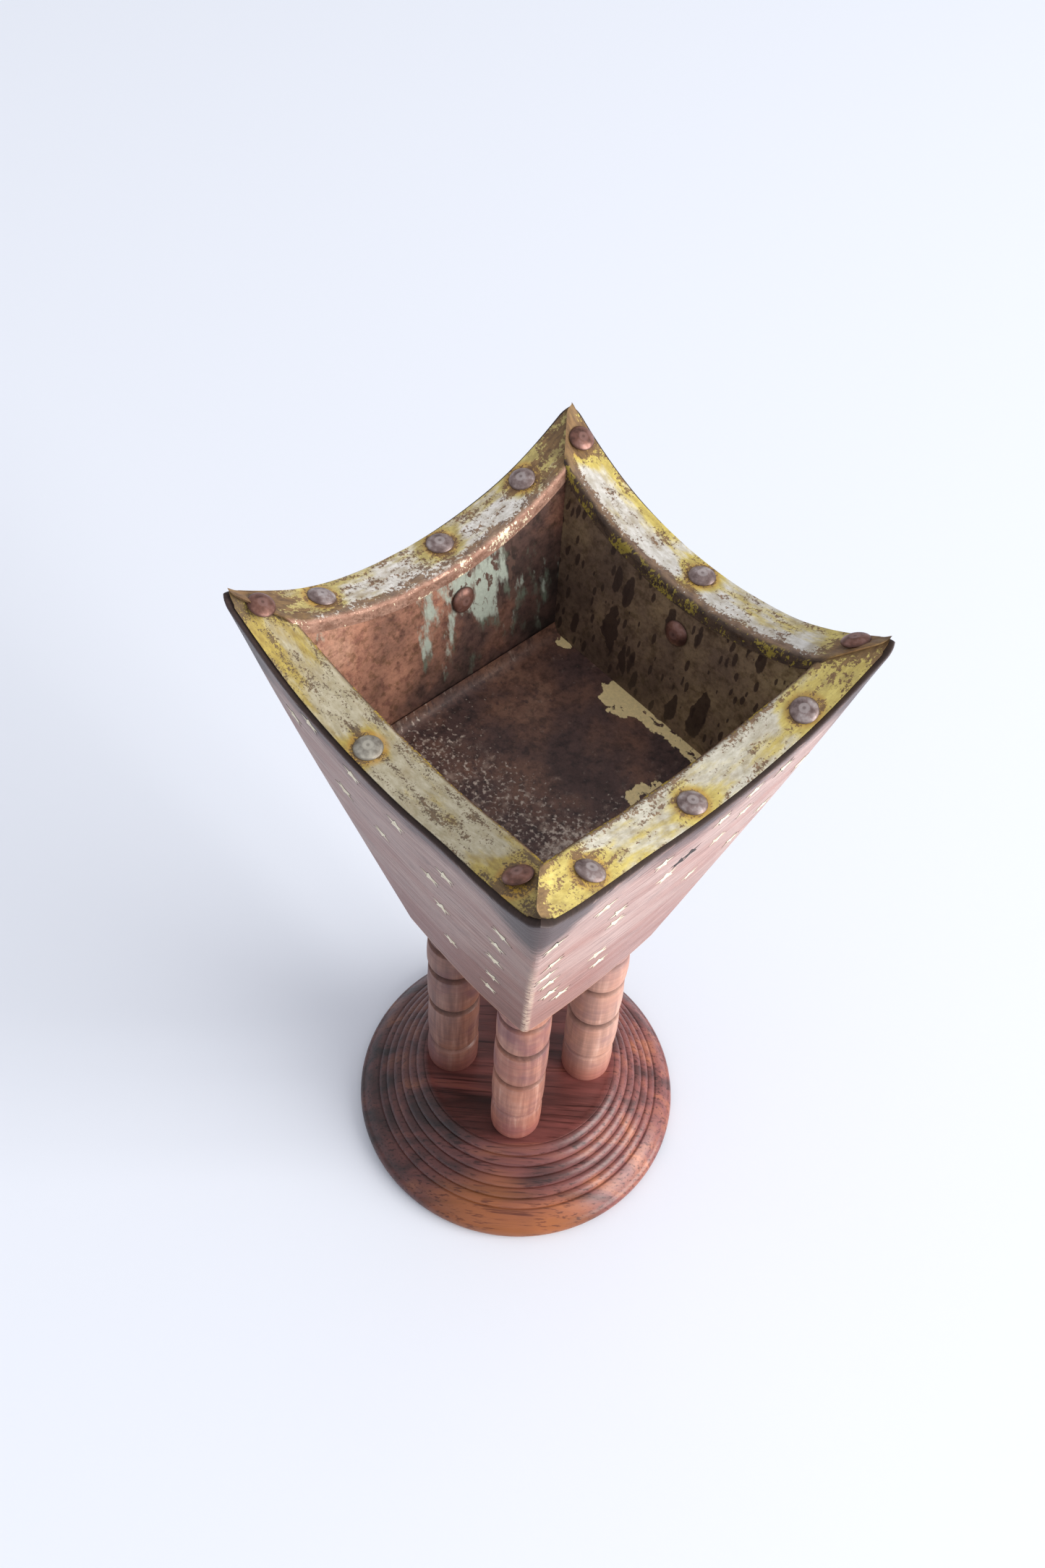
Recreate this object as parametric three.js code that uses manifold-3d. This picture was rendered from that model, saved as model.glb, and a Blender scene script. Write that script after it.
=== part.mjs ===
// An incense burner: a tapering wooden cup lined with painted tin, on four turned legs and a turned base.
// Millimetres, +Z up, with the origin at the middle of the base's underside.
// The cup has four sides alike: 0 is right (+X), 1 is back (+Y), 2 is left (-X) and 3 is front (-Y).
import * as THREE from "three";
import { mergeVertices } from "three/addons/utils/BufferGeometryUtils.js";
import Module from "manifold-3d";

const wasm = await Module();
wasm.setup();

// Clearances
const gap = 0.3; // between pieces that touch
const shankGap = 0.3; // around a tack's shank in its hole
const mitreGap = gap / Math.SQRT2; // taken off each end of a mitred piece, along its side

// Turned base
const baseRadius = 49; // at its widest, just above the underside
const baseFootRadius = 47.6;
const baseHeight = 22.5;
const edgeHeight = 4; // height of the widest circle
const plateauRadius = 29.5;
const ringsRadius = 43.5; // outer end of the turned rings
const ringsHeight = 8.5; // height of the rings' outer end
const ringCount = 6;
const ringDepth = 0.7;

// Turned legs
const legSpacing = 28.6; // between the axes of two neighbouring legs
const legLength = 75.2; // between the base and the cup
const legRadius = 7.7;
const legGrooveRadius = 5.9;
const legFootLength = 14.5;
const legNeckLength = 21.9;
const barrelCount = 2;
const tenonRadius = 4.5;
const baseTenonLength = 10;
const boardTenonLength = 5.5;

// Wooden cup
const cupTopSide = 100; // from corner peak to corner peak
const cupBottomSide = 46;
const cupHeight = 118; // from the bottom board's underside to the corner peaks
const rimSag = 15; // how far the rim dips between two peaks
const topCrown = 2.4; // how far a side bulges at its middle, at the peaks' height
const bottomCrown = 1;
const panelThickness = 9; // measured level
const boardThickness = 8;
const boardChamfer = 1.2;

// Tin lining
const tinThickness = 0.5;
const linerDepth = 48; // from the corner peaks to the pan
const woodBand = 1.5; // top edge of the panels left bare outside the rim strips
const stripLap = 0.4; // how far a strip reaches over the cavity

// Tacks
const tackHeadRadius = 3.15;
const tackHeadHeight = 1.3;
const tackShankRadius = 0.8;
const tackShankLength = 7;
const tackInset = 5; // from the cup's outer face to a rim tack's axis
const cornerTackInset = 6.5; // along each side, from the corner peak to a tack on the mitre
const cornerTackBacks = [-8, 8.4, 0, 12.7]; // from the peak to the tack: on this strip, the next (-) or the mitre (0)
const rimTacks = [[-32, -3, 29], [-1], [-30, -5, 28], [-8]]; // places along each side
const wallTackPlace = -4; // along each side
const wallTackDrop = 24; // below the corner peaks

// Mesh fineness
const roundSegments = 32;
const legSegments = 12;
const tackSegments = 10;
const arcSegments = 72;
const panelColumns = 8;
const panelRows = 3;
const stripSteps = 14;

// Heights and outlines that follow from the sizes above
const cupBottomZ = baseHeight + gap + legLength + gap;
const peakZ = cupBottomZ + cupHeight;
const panelBottomZ = cupBottomZ + boardThickness + gap;
const panZ = peakZ - linerDepth;
const slope = (cupTopSide - cupBottomSide) / 2 / cupHeight;
const arcRadius = ((cupTopSide / 2) ** 2 + rimSag ** 2) / (2 * rimSag);
const arcCentreZ = peakZ - rimSag + arcRadius;
const cornerTackReach = cupTopSide / 2 - cornerTackInset;

// Half the cup's outer side at height z, without the crown.
function outerHalf(z) {
  return cupBottomSide / 2 + slope * (z - cupBottomZ);
}

// The crown's height at the middle of a side, at height z.
function crownAt(z) {
  return bottomCrown + ((topCrown - bottomCrown) * (z - cupBottomZ)) / cupHeight;
}

// Distance from the cup's axis to the middle of each layer of a wall, at height z.
function panelInner(z) {
  return outerHalf(z) - panelThickness;
}

function linerOuter(z) {
  return panelInner(z) - gap;
}

function linerInner(z) {
  return linerOuter(z) - tinThickness;
}

// Height of the panels' top edge at place t along a side.
function rimZ(t) {
  return arcCentreZ - Math.sqrt(arcRadius ** 2 - t ** 2);
}

// Distance from the axis to the crowned outer face, on the rim at place t.
function rimOuter(t) {
  const z = rimZ(t);
  const half = outerHalf(z);
  return half + crownAt(z) * Math.max(0, 1 - (t / half) ** 2);
}

// A manifold solid from three.js geometry.
function solidOf(geometry) {
  const bare = geometry.index ? geometry.toNonIndexed() : geometry.clone();
  bare.deleteAttribute("normal");
  bare.deleteAttribute("uv");
  const merged = mergeVertices(bare, 1e-4);
  return new wasm.Manifold(
    new wasm.Mesh({
      numProp: 3,
      vertProperties: merged.attributes.position.array,
      triVerts: new Uint32Array(merged.index.array),
    }),
  );
}

// three.js geometry from a manifold solid.
function geometryOf(solid) {
  const mesh = solid.getMesh();
  const shared = new THREE.BufferGeometry();
  shared.setAttribute("position", new THREE.BufferAttribute(mesh.vertProperties, 3));
  shared.setIndex(new THREE.BufferAttribute(mesh.triVerts, 1));
  const geometry = shared.toNonIndexed();
  geometry.computeVertexNormals();
  return geometry;
}

// A solid turned about Z from [radius, height] points that start and end on the axis, lowest first.
function turned(points, segments) {
  const profile = points.map(([radius, height]) => new THREE.Vector2(radius, height));
  return new THREE.LatheGeometry(profile, segments).rotateX(Math.PI / 2);
}

// An upright round bar that stands on height z.
function bar(radius, length, x, y, z, segments) {
  const geometry = new THREE.CylinderGeometry(radius, radius, length, segments);
  return geometry.rotateX(Math.PI / 2).translate(x, y, z + length / 2);
}

// A closed body between two faces that share a grid; each face gives [x, y, z] at (across, up), 0 to 1.
function slab(columns, rows, frontFace, backFace) {
  const points = [];
  const triangles = [];
  const width = columns + 1;
  const back = width * (rows + 1);
  for (const face of [frontFace, backFace]) {
    for (let j = 0; j <= rows; j += 1) {
      for (let i = 0; i <= columns; i += 1) {
        points.push(...face(i / columns, j / rows));
      }
    }
  }
  const quad = (a, b, c, d) => triangles.push(a, b, c, a, c, d);
  for (let j = 0; j < rows; j += 1) {
    for (let i = 0; i < columns; i += 1) {
      const k = j * width + i;
      quad(k, k + 1, k + 1 + width, k + width);
      quad(back + k, back + k + width, back + k + 1 + width, back + k + 1);
    }
    const left = j * width;
    const right = left + columns;
    quad(left, left + width, back + left + width, back + left);
    quad(right, back + right, back + right + width, right + width);
  }
  for (let i = 0; i < columns; i += 1) {
    const top = rows * width + i;
    quad(i, back + i, back + i + 1, i + 1);
    quad(top, top + 1, back + top + 1, back + top);
  }
  const geometry = new THREE.BufferGeometry();
  geometry.setAttribute("position", new THREE.Float32BufferAttribute(points, 3));
  geometry.setIndex(triangles);
  return geometry;
}

// A wall on side 0 between two heights, its faces at distances outer(across, z) and inner(z) from the axis.
function wall(columns, rows, lowZ, highZ, outer, inner) {
  const face = (distance) => (across, up) => {
    const z = lowZ + (highZ - lowZ) * up;
    const u = 2 * across - 1;
    return [distance(u, z), u * (distance(1, z) - mitreGap), z];
  };
  return solidOf(slab(columns, rows, face(outer), face((u, z) => inner(z))));
}

// A long round bar across side 0, for cutting the rim's arc or its strip.
function arcBar(radius) {
  const geometry = new THREE.CylinderGeometry(radius, radius, 2 * cupTopSide, arcSegments);
  return solidOf(geometry.rotateZ(Math.PI / 2).translate(0, 0, arcCentreZ));
}

// The place along side 0 where the line x = distance(t) meets the mitre.
function mitreEnd(distance) {
  let t = cupTopSide / 2 - tackInset;
  for (let i = 0; i < 40; i += 1) {
    t = distance(t) - mitreGap;
    t = Math.min(t, cupTopSide / 2);
  }
  return t;
}

// Where each tack sits: the foot of its head and the way its head points, seen from side 0.
function rimTackAt(place) {
  const reach = arcRadius - 2 * gap - tinThickness;
  const sine = place / arcRadius;
  const cosine = Math.sqrt(1 - sine ** 2);
  return {
    position: [rimOuter(place) - tackInset, reach * sine, arcCentreZ - reach * cosine],
    axis: [0, -sine, cosine],
  };
}

// Seen from the side before the one it was placed from.
function turnedBack({ position, axis }) {
  return {
    position: [-position[1], position[0], position[2]],
    axis: [-axis[1], axis[0], axis[2]],
  };
}

// The tack at the corner where a side meets the next one.
function cornerTackAt(side) {
  const back = cornerTackBacks[side];
  if (back > 0) return rimTackAt(cupTopSide / 2 - back);
  if (back < 0) return turnedBack(rimTackAt(-cupTopSide / 2 - back));
  const steepness = cornerTackReach / arcRadius;
  const axis = [-steepness, -steepness, 2 * Math.sqrt(1 - steepness ** 2)];
  const length = Math.hypot(...axis);
  const unit = axis.map((value) => value / length);
  const lift = 2 * gap + tinThickness;
  return {
    position: [
      cornerTackReach + unit[0] * lift,
      cornerTackReach + unit[1] * lift,
      rimZ(cornerTackReach) + unit[2] * lift,
    ],
    axis: unit,
  };
}

function wallTackAt() {
  const z = peakZ - wallTackDrop;
  const length = Math.hypot(1, slope);
  const axis = [-1 / length, 0, slope / length];
  return {
    position: [linerInner(z) + axis[0] * gap, wallTackPlace, z + axis[2] * gap],
    axis,
  };
}

// Turns a tack's place from side 0 to another side.
function onSide(side, { position, axis }) {
  const turn = new THREE.Matrix4().makeRotationZ((side * Math.PI) / 2);
  return {
    position: new THREE.Vector3(...position).applyMatrix4(turn),
    axis: new THREE.Vector3(...axis).applyMatrix4(turn),
  };
}

// The clearance hole for a tack, as seen from side 0.
function tackHole({ position, axis }) {
  const length = tackShankLength + gap + tackHeadHeight;
  const hole = bar(tackShankRadius + shankGap, length, 0, 0, -tackShankLength - gap, tackSegments);
  const up = new THREE.Vector3(0, 0, 1);
  const turn = new THREE.Quaternion().setFromUnitVectors(up, new THREE.Vector3(...axis));
  return solidOf(hole.applyQuaternion(turn).translate(...position));
}

// Seen from the next side, for a corner that two sides share.
function turnedOn({ position, axis }) {
  return {
    position: [position[1], -position[0], position[2]],
    axis: [axis[1], -axis[0], axis[2]],
  };
}

// Subtracts a tack's holes from a piece on one side.
function drilled(solid, side, withWallTack) {
  const before = (side + 3) % 4;
  const places = [cornerTackAt(side), turnedOn(cornerTackAt(before)), ...rimTacks[side].map(rimTackAt)];
  if (withWallTack) places.push(wallTackAt());
  return places.reduce((rest, place) => rest.subtract(tackHole(place)), solid);
}

// Materials
const colours = {
  rosewood: [0x4a2a24, 0.4],
  legWood: [0x9a6248, 0.6],
  panelWood: [0xa08a84, 0.65],
  tin: [0xb9ab4e, 0.5],
  rust: [0x7a5240, 0.75],
  tackIron: [0x6d554e, 0.5],
};

function materialOf(name) {
  const [color, roughness] = colours[name];
  const metalness = ["tin", "rust", "tackIron"].includes(name) ? 0.5 : 0;
  return new THREE.MeshStandardMaterial({ color, roughness, metalness });
}

const burner = new THREE.Group();

function addPiece(name, geometry, material) {
  const mesh = new THREE.Mesh(geometry, materialOf(material));
  mesh.name = name;
  burner.add(mesh);
  return mesh;
}

// Turned base: a round foot, a plain bevel, a slope of rings and a flat top with a socket for each leg.
function baseGeometry() {
  const points = [[0, 0], [baseFootRadius, 0], [baseRadius - 0.3, edgeHeight / 2], [baseRadius, edgeHeight]];
  points.push([baseRadius - 0.7, edgeHeight + 1.4]);
  points.push([(baseRadius + ringsRadius) / 2 + 0.6, (edgeHeight + ringsHeight) / 2 + 0.7]);
  const stepIn = (ringsRadius - plateauRadius) / ringCount;
  const stepUp = (baseHeight - ringsHeight) / ringCount;
  for (let ring = 0; ring < ringCount; ring += 1) {
    const radius = ringsRadius - stepIn * ring;
    const height = ringsHeight + stepUp * ring;
    points.push([radius - ringDepth / 2, height - ringDepth / 2]);
    points.push([radius - 0.2 * stepIn, height + 0.5 * stepUp]);
    points.push([radius - 0.55 * stepIn, height + 0.85 * stepUp]);
  }
  points.push([plateauRadius, baseHeight - ringDepth / 2], [plateauRadius - 0.8, baseHeight], [0, baseHeight]);
  return turned(points, roundSegments);
}

const legPlaces = [[1, -1], [1, 1], [-1, 1], [-1, -1]].map((pair) => pair.map((sign) => (sign * legSpacing) / 2));

function addBase() {
  let solid = solidOf(baseGeometry());
  const depth = baseTenonLength + gap;
  for (const [x, y] of legPlaces) {
    const socket = bar(tenonRadius + gap, depth + 1, x, y, baseHeight - depth, legSegments);
    solid = solid.subtract(solidOf(socket));
  }
  addPiece("base_disc", geometryOf(solid), "rosewood");
}

// Turned leg: a tenon, a foot, barrels parted by grooves, a neck and a second tenon.
function legGeometry() {
  const barrelLength = (legLength - legFootLength - legNeckLength) / barrelCount;
  const points = [[0, -baseTenonLength], [tenonRadius, -baseTenonLength], [tenonRadius, 0], [legRadius - 0.6, 0]];
  points.push([legRadius - 0.2, legFootLength * 0.4], [legRadius - 0.3, legFootLength - 1]);
  for (let barrel = 0; barrel <= barrelCount; barrel += 1) {
    const low = legFootLength + barrelLength * barrel;
    points.push([legGrooveRadius, low]);
    if (barrel < barrelCount) {
      points.push([legRadius - 0.4, low + 1.1]);
      points.push([legRadius, low + barrelLength / 2]);
      points.push([legRadius - 0.4, low + barrelLength - 1.1]);
    }
  }
  points.push([legRadius - 0.5, legLength - legNeckLength + 1.1], [legRadius - 0.5, legLength]);
  points.push([tenonRadius, legLength], [tenonRadius, legLength + boardTenonLength]);
  points.push([0, legLength + boardTenonLength]);
  return turned(points, legSegments);
}

function addLegs() {
  const names = ["leg_front_right", "leg_back_right", "leg_back_left", "leg_front_left"];
  legPlaces.forEach(([x, y], index) => {
    const leg = addPiece(names[index], legGeometry(), "legWood");
    leg.position.set(x, y, baseHeight + gap);
  });
}

// Bottom board: the cup's crowned outline at three heights, chamfered below, with a socket for each leg.
function addBoard() {
  const levels = [
    [cupBottomZ, boardChamfer],
    [cupBottomZ + boardChamfer, 0],
    [cupBottomZ + boardThickness, 0],
  ];
  const steps = 6;
  const count = 4 * steps;
  const points = [];
  for (const [z, inset] of levels) {
    for (let k = 0; k < count; k += 1) {
      const u = (2 * (k % steps)) / steps - 1;
      const half = outerHalf(z) - inset;
      const point = new THREE.Vector3(half + crownAt(z) * (1 - u ** 2), u * half, z);
      point.applyAxisAngle(new THREE.Vector3(0, 0, 1), (Math.floor(k / steps) * Math.PI) / 2);
      points.push(point.x, point.y, point.z);
    }
  }
  const low = points.length / 3;
  points.push(0, 0, cupBottomZ, 0, 0, cupBottomZ + boardThickness);
  const triangles = [];
  for (let k = 0; k < count; k += 1) {
    const next = (k + 1) % count;
    triangles.push(low, next, k, low + 1, 2 * count + k, 2 * count + next);
    for (const ring of [0, count]) {
      triangles.push(ring + k, ring + next, ring + count + next, ring + k, ring + count + next, ring + count + k);
    }
  }
  const geometry = new THREE.BufferGeometry();
  geometry.setAttribute("position", new THREE.Float32BufferAttribute(points, 3));
  geometry.setIndex(triangles);
  let solid = solidOf(geometry);
  for (const [x, y] of legPlaces) {
    const length = boardTenonLength + 2 * gap + 1;
    solid = solid.subtract(solidOf(bar(tenonRadius + gap, length, x, y, cupBottomZ - 1, legSegments)));
  }
  addPiece("bottom_board", geometryOf(solid), "panelWood");
}

// One side of the cup: the crowned panel, the liner wall inside it and the strip along its rim.
function panelSolid(side) {
  const outer = (u, z) => outerHalf(z) + crownAt(z) * (1 - u ** 2);
  const solid = wall(panelColumns, panelRows, panelBottomZ, peakZ + 1, outer, panelInner);
  return drilled(solid.subtract(arcBar(arcRadius)), side, true);
}

function linerWallSolid() {
  const solid = wall(1, 1, panZ, peakZ + 1, (u, z) => linerOuter(z), linerInner);
  return solid.subtract(arcBar(arcRadius)).subtract(tackHole(wallTackAt()));
}

function stripSolid(side) {
  const outer = (t) => rimOuter(t) - woodBand;
  const inner = (t) => linerInner(rimZ(t)) - stripLap;
  const outline = [];
  for (const [distance, way] of [[outer, 1], [inner, -1]]) {
    const end = mitreEnd(distance);
    for (let step = 0; step <= stripSteps; step += 1) {
      const t = way * end * ((2 * step) / stripSteps - 1);
      outline.push(new THREE.Vector2(distance(t), t));
    }
  }
  const height = rimSag + 4;
  const plan = new THREE.ExtrudeGeometry(new THREE.Shape(outline), { depth: height, bevelEnabled: false });
  const prism = solidOf(plan.translate(0, 0, peakZ - rimSag - 2));
  const tin = arcBar(arcRadius - gap).subtract(arcBar(arcRadius - gap - tinThickness));
  return drilled(prism.intersect(tin), side, false);
}

function addSides() {
  ["right", "back", "left", "front"].forEach((name, side) => {
    const pieces = [
      addPiece("panel_" + name, geometryOf(panelSolid(side)), "panelWood"),
      addPiece("liner_wall_" + name, geometryOf(linerWallSolid()), "rust"),
      addPiece("rim_strip_" + name, geometryOf(stripSolid(side)), "tin"),
    ];
    for (const piece of pieces) piece.rotation.z = (side * Math.PI) / 2;
  });
}

// Pan: the flat tin floor of the lining, inside the foot of its walls.
function addPan() {
  const side = 2 * (linerInner(panZ) - gap);
  const pan = new THREE.BoxGeometry(side, side, tinThickness);
  addPiece("liner_pan", pan.translate(0, 0, panZ + tinThickness / 2), "rust");
}

// Tack: a pointed shank under a domed head with a small dimple on top.
function tackGeometry() {
  const points = [
    [0, -tackShankLength],
    [tackShankRadius, 1.6 - tackShankLength],
    [tackShankRadius, 0],
    [tackHeadRadius, 0],
    [tackHeadRadius * 0.97, tackHeadHeight * 0.35],
    [tackHeadRadius * 0.7, tackHeadHeight * 0.8],
    [tackHeadRadius * 0.3, tackHeadHeight],
    [0, tackHeadHeight * 0.9],
  ];
  return turned(points, tackSegments);
}

function addTack(name, { position, axis }) {
  const tack = addPiece(name, tackGeometry(), "tackIron");
  tack.position.copy(position);
  tack.quaternion.setFromUnitVectors(new THREE.Vector3(0, 0, 1), axis);
}

function addTacks() {
  ["right", "back", "left", "front"].forEach((name, side) => {
    rimTacks[side].forEach((place, index) => {
      addTack("rim_tack_" + name + "_" + (index + 1), onSide(side, rimTackAt(place)));
    });
    addTack("wall_tack_" + name, onSide(side, wallTackAt()));
  });
  ["back_right", "back_left", "front_left", "front_right"].forEach((name, side) => {
    addTack("corner_tack_" + name, onSide(side, cornerTackAt(side)));
  });
}

addBase();
addLegs();
addBoard();
addSides();
addPan();
addTacks();

export default burner;
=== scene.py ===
# An incense burner: a tapering wooden cup lined with worn painted tin, on turned legs and a ringed base.
# Lengths below are in millimetres, and makePiece turns them into metres.
import math
import bpy
import numpy as np
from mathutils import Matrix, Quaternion, Vector


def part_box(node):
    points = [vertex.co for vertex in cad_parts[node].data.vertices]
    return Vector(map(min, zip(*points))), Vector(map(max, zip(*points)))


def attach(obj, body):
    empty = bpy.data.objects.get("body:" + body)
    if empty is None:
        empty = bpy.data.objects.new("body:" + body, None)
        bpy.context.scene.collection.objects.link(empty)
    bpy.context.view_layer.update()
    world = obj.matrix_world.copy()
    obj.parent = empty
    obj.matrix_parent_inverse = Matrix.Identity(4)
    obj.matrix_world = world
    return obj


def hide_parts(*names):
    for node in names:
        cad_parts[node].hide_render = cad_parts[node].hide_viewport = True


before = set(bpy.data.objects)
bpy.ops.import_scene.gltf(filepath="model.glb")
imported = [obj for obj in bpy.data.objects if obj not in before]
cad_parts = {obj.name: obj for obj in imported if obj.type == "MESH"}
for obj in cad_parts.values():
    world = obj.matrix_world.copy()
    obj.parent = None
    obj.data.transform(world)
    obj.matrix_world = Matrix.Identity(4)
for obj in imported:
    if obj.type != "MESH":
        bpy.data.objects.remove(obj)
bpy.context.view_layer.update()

sideNames = ["right", "back", "left", "front"]  # side k is side 0, which faces +X, turned by k quarter turns
grainShift = {"panel": 137, "strip": 211}  # mm between the patterns of one side and the next
legNames = ["leg_front_right", "leg_back_right", "leg_back_left", "leg_front_left"]


def nodeBox(node):
    # Lowest and highest corner of a CAD node, in millimetres.
    low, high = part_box(node)
    return np.array(low) * 1000, np.array(high) * 1000


def faceGrid(rows, columns, closeRows=False, closeColumns=False):
    # Quads of a grid of points counted row by row, with its last row or column joined to the first if asked.
    j, i = np.meshgrid(np.arange(rows - 1 + closeRows), np.arange(columns - 1 + closeColumns), indexing="ij")
    below, above = j * columns, (j + 1) % rows * columns
    left, right = i, (i + 1) % columns
    return np.stack([below + left, below + right, above + right, above + left], -1).reshape(-1, 4)


def tubeFaces(rows, columns):
    # A grid closed along its rows, with a flat face over its first and last column.
    loop = np.arange(rows) * columns
    ends = [loop.tolist(), (loop[::-1] + columns - 1).tolist()]
    return faceGrid(rows, columns, closeRows=True).tolist() + ends


def cappedFaces(rows, columns):
    # A grid closed along its columns, with its first and last row closed to two more points at their middles.
    first = np.arange(columns)
    after = (first + 1) % columns
    last = (rows - 1) * columns
    faces = faceGrid(rows, columns, closeColumns=True).tolist()
    faces += np.stack([after, first, np.full(columns, rows * columns)], -1).tolist()
    return faces + np.stack([last + first, last + after, np.full(columns, rows * columns + 1)], -1).tolist()


def revolve(profile, segments, *values):
    # Turns a profile of radius and height about Z: x = r cos a, y = r sin a. Its two ends lie on the axis.
    # Returns the points, the faces and each row's values spread over its ring.
    angle = np.linspace(0, 2 * np.pi, segments, endpoint=False)
    radius, height = profile[1:-1, :1], profile[1:-1, 1:]
    ring = np.stack([radius * np.cos(angle), radius * np.sin(angle), np.repeat(height, segments, 1)], -1)
    points = np.concatenate([ring.reshape(-1, 3), [[0, 0, profile[0, 1]], [0, 0, profile[-1, 1]]]])
    spread = [np.concatenate([np.repeat(value[1:-1], segments), value[[0, -1]]]) for value in values]
    return points, cappedFaces(len(profile) - 2, segments), spread


def makePiece(name, points, faces, material, replaced=(), layers=None, smoothAngle=40):
    # A mesh from points in mm. Layers are per-point attributes: one number, or three, for each point.
    mesh = bpy.data.meshes.new(name)
    mesh.from_pydata((points * 0.001).tolist(), [], faces)
    mesh.update()
    for layer, values in (layers or {}).items():
        kind, key = ("FLOAT", "value") if values.ndim == 1 else ("FLOAT_VECTOR", "vector")
        mesh.attributes.new(layer, kind, "POINT").data.foreach_set(key, values.astype(np.float32).ravel())
    mesh.shade_smooth()
    mesh.set_sharp_from_angle(angle=math.radians(smoothAngle))
    piece = bpy.data.objects.new(name, mesh)
    bpy.context.collection.objects.link(piece)
    mesh.materials.append(material)
    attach(piece, "root")
    if replaced:
        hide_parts(*replaced)
    return piece


def smoothStep(low, high, value):
    part = np.clip((value - low) / (high - low), 0, 1)
    return part * part * (3 - 2 * part)


def ripple(a, b, seed, size):
    # Gentle unevenness between -1 and 1: the mean of 6 sine waves of random heading, about size mm long.
    rng = np.random.default_rng(seed)
    total = np.zeros(np.broadcast(a, b).shape)
    for wave in range(6):
        heading = rng.uniform(0, 2 * np.pi)
        length = size * rng.uniform(0.6, 1.6)
        along = (a * np.cos(heading) + b * np.sin(heading)) / length
        total = total + np.sin(2 * np.pi * along + rng.uniform(0, 6.3))
    return total / 6


def turnSide(points, side):
    # Turns points made for side 0 by side quarter turns about Z.
    cosine, sine = [(1, 0), (0, 1), (-1, 0), (0, -1)][side]
    x, y, z = points[..., 0], points[..., 1], points[..., 2]
    return np.stack([cosine * x - sine * y, sine * x + cosine * y, z], -1)


def linear(hexColour):
    # sRGB hex to linear red, green, blue, 1.
    channels = [int(hexColour[i:i + 2], 16) / 255 for i in (1, 3, 5)]
    return [c / 12.92 if c <= 0.04045 else ((c + 0.055) / 1.055) ** 2.4 for c in channels] + [1.0]


smooth = {"interpolation_type": "SMOOTHSTEP"}
colourMix = {"data_type": "RGBA"}
multiplied = {"data_type": "RGBA", "blend_type": "MULTIPLY"}
multiplyAdd = {"operation": "MULTIPLY_ADD"}


def giveInputs(tree, node, inputs):
    # Inputs are sockets to link, hex colours or values, by name or index.
    for key, value in inputs.items():
        if isinstance(value, bpy.types.NodeSocket):
            tree.links.new(value, node.inputs[key])
        else:
            node.inputs[key].default_value = linear(value) if isinstance(value, str) else value


def addNode(tree, kind, inputs=None, settings=None, output=None, stops=None):
    # One node, returned as the output asked for or its first in use. Stops are a ramp's places and colours.
    node = tree.nodes.new("ShaderNode" + kind)
    for key, value in (settings or {}).items():
        setattr(node, key, value)
    giveInputs(tree, node, inputs or {})
    for index, (place, colour) in enumerate(stops or []):
        elements = node.color_ramp.elements
        element = elements[index] if index < 2 else elements.new(place)
        element.position = place
        element.color = linear(colour)
    return node.outputs[output] if output else next(socket for socket in node.outputs if socket.enabled)


def objectPlace(tree):
    # Object coordinates in mm.
    metres = addNode(tree, "TexCoord", output="Object")
    return addNode(tree, "Mapping", {"Vector": metres, "Scale": (1000, 1000, 1000)})


def lumps(tree, place, size, detail, roughness=0.5, distortion=0.0, shift=(0, 0, 0), turn=0.0):
    # A pattern of soft lumps of size mm: one number, or one for each axis, where 0 leaves that axis out.
    # Its place is scaled, turned and then shifted.
    sizes = size if isinstance(size, tuple) else (size, size, size)
    stretch = [1 / length if length else 0.0 for length in sizes]
    given = {"Vector": place, "Location": shift, "Rotation": (0, 0, turn), "Scale": stretch}
    scaled = addNode(tree, "Mapping", given)
    given = {"Vector": scaled, "Scale": 1.0, "Detail": detail, "Roughness": roughness}
    return addNode(tree, "TexNoise", given | {"Distortion": distortion})


def coat(tree, under, over, value, low, high, top=1.0, settings=colourMix):
    # Lays one colour over another where a value runs from low to high, up to the share top.
    share = addNode(tree, "MapRange", {0: value, 1: low, 2: high, 4: top}, smooth)
    return addNode(tree, "Mix", {0: share, 6: under, 7: over}, settings)


def joined(tree, operation, first, *others):
    # Several values added up or multiplied together.
    for other in others:
        first = addNode(tree, "Math", {0: first, 1: other}, {"operation": operation})
    return first


def newMaterial(name):
    material = bpy.data.materials.new(name)
    material.use_nodes = True
    return material, material.node_tree


def finish(tree, colour, rough, height=None, depth=0.0, strength=0.0, metal=0.0):
    # Wires the shader. Rough may be a pattern with the roughness at its low and high values, and height is
    # the pattern of the bump, which is depth mm high.
    shader = tree.nodes["Principled BSDF"]
    if isinstance(rough, tuple):
        rough = addNode(tree, "MapRange", {0: rough[0], 1: 0.3, 2: 0.7, 3: rough[1], 4: rough[2]})
    giveInputs(tree, shader, {"Base Color": colour, "Roughness": rough, "Metallic": metal})
    if height:
        bump = addNode(tree, "Bump", {"Height": height, "Distance": depth / 1000, "Strength": strength})
        tree.links.new(bump, shader.inputs["Normal"])
    return shader


print("scene: frame loaded,", len(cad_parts), "nodes")


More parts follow.
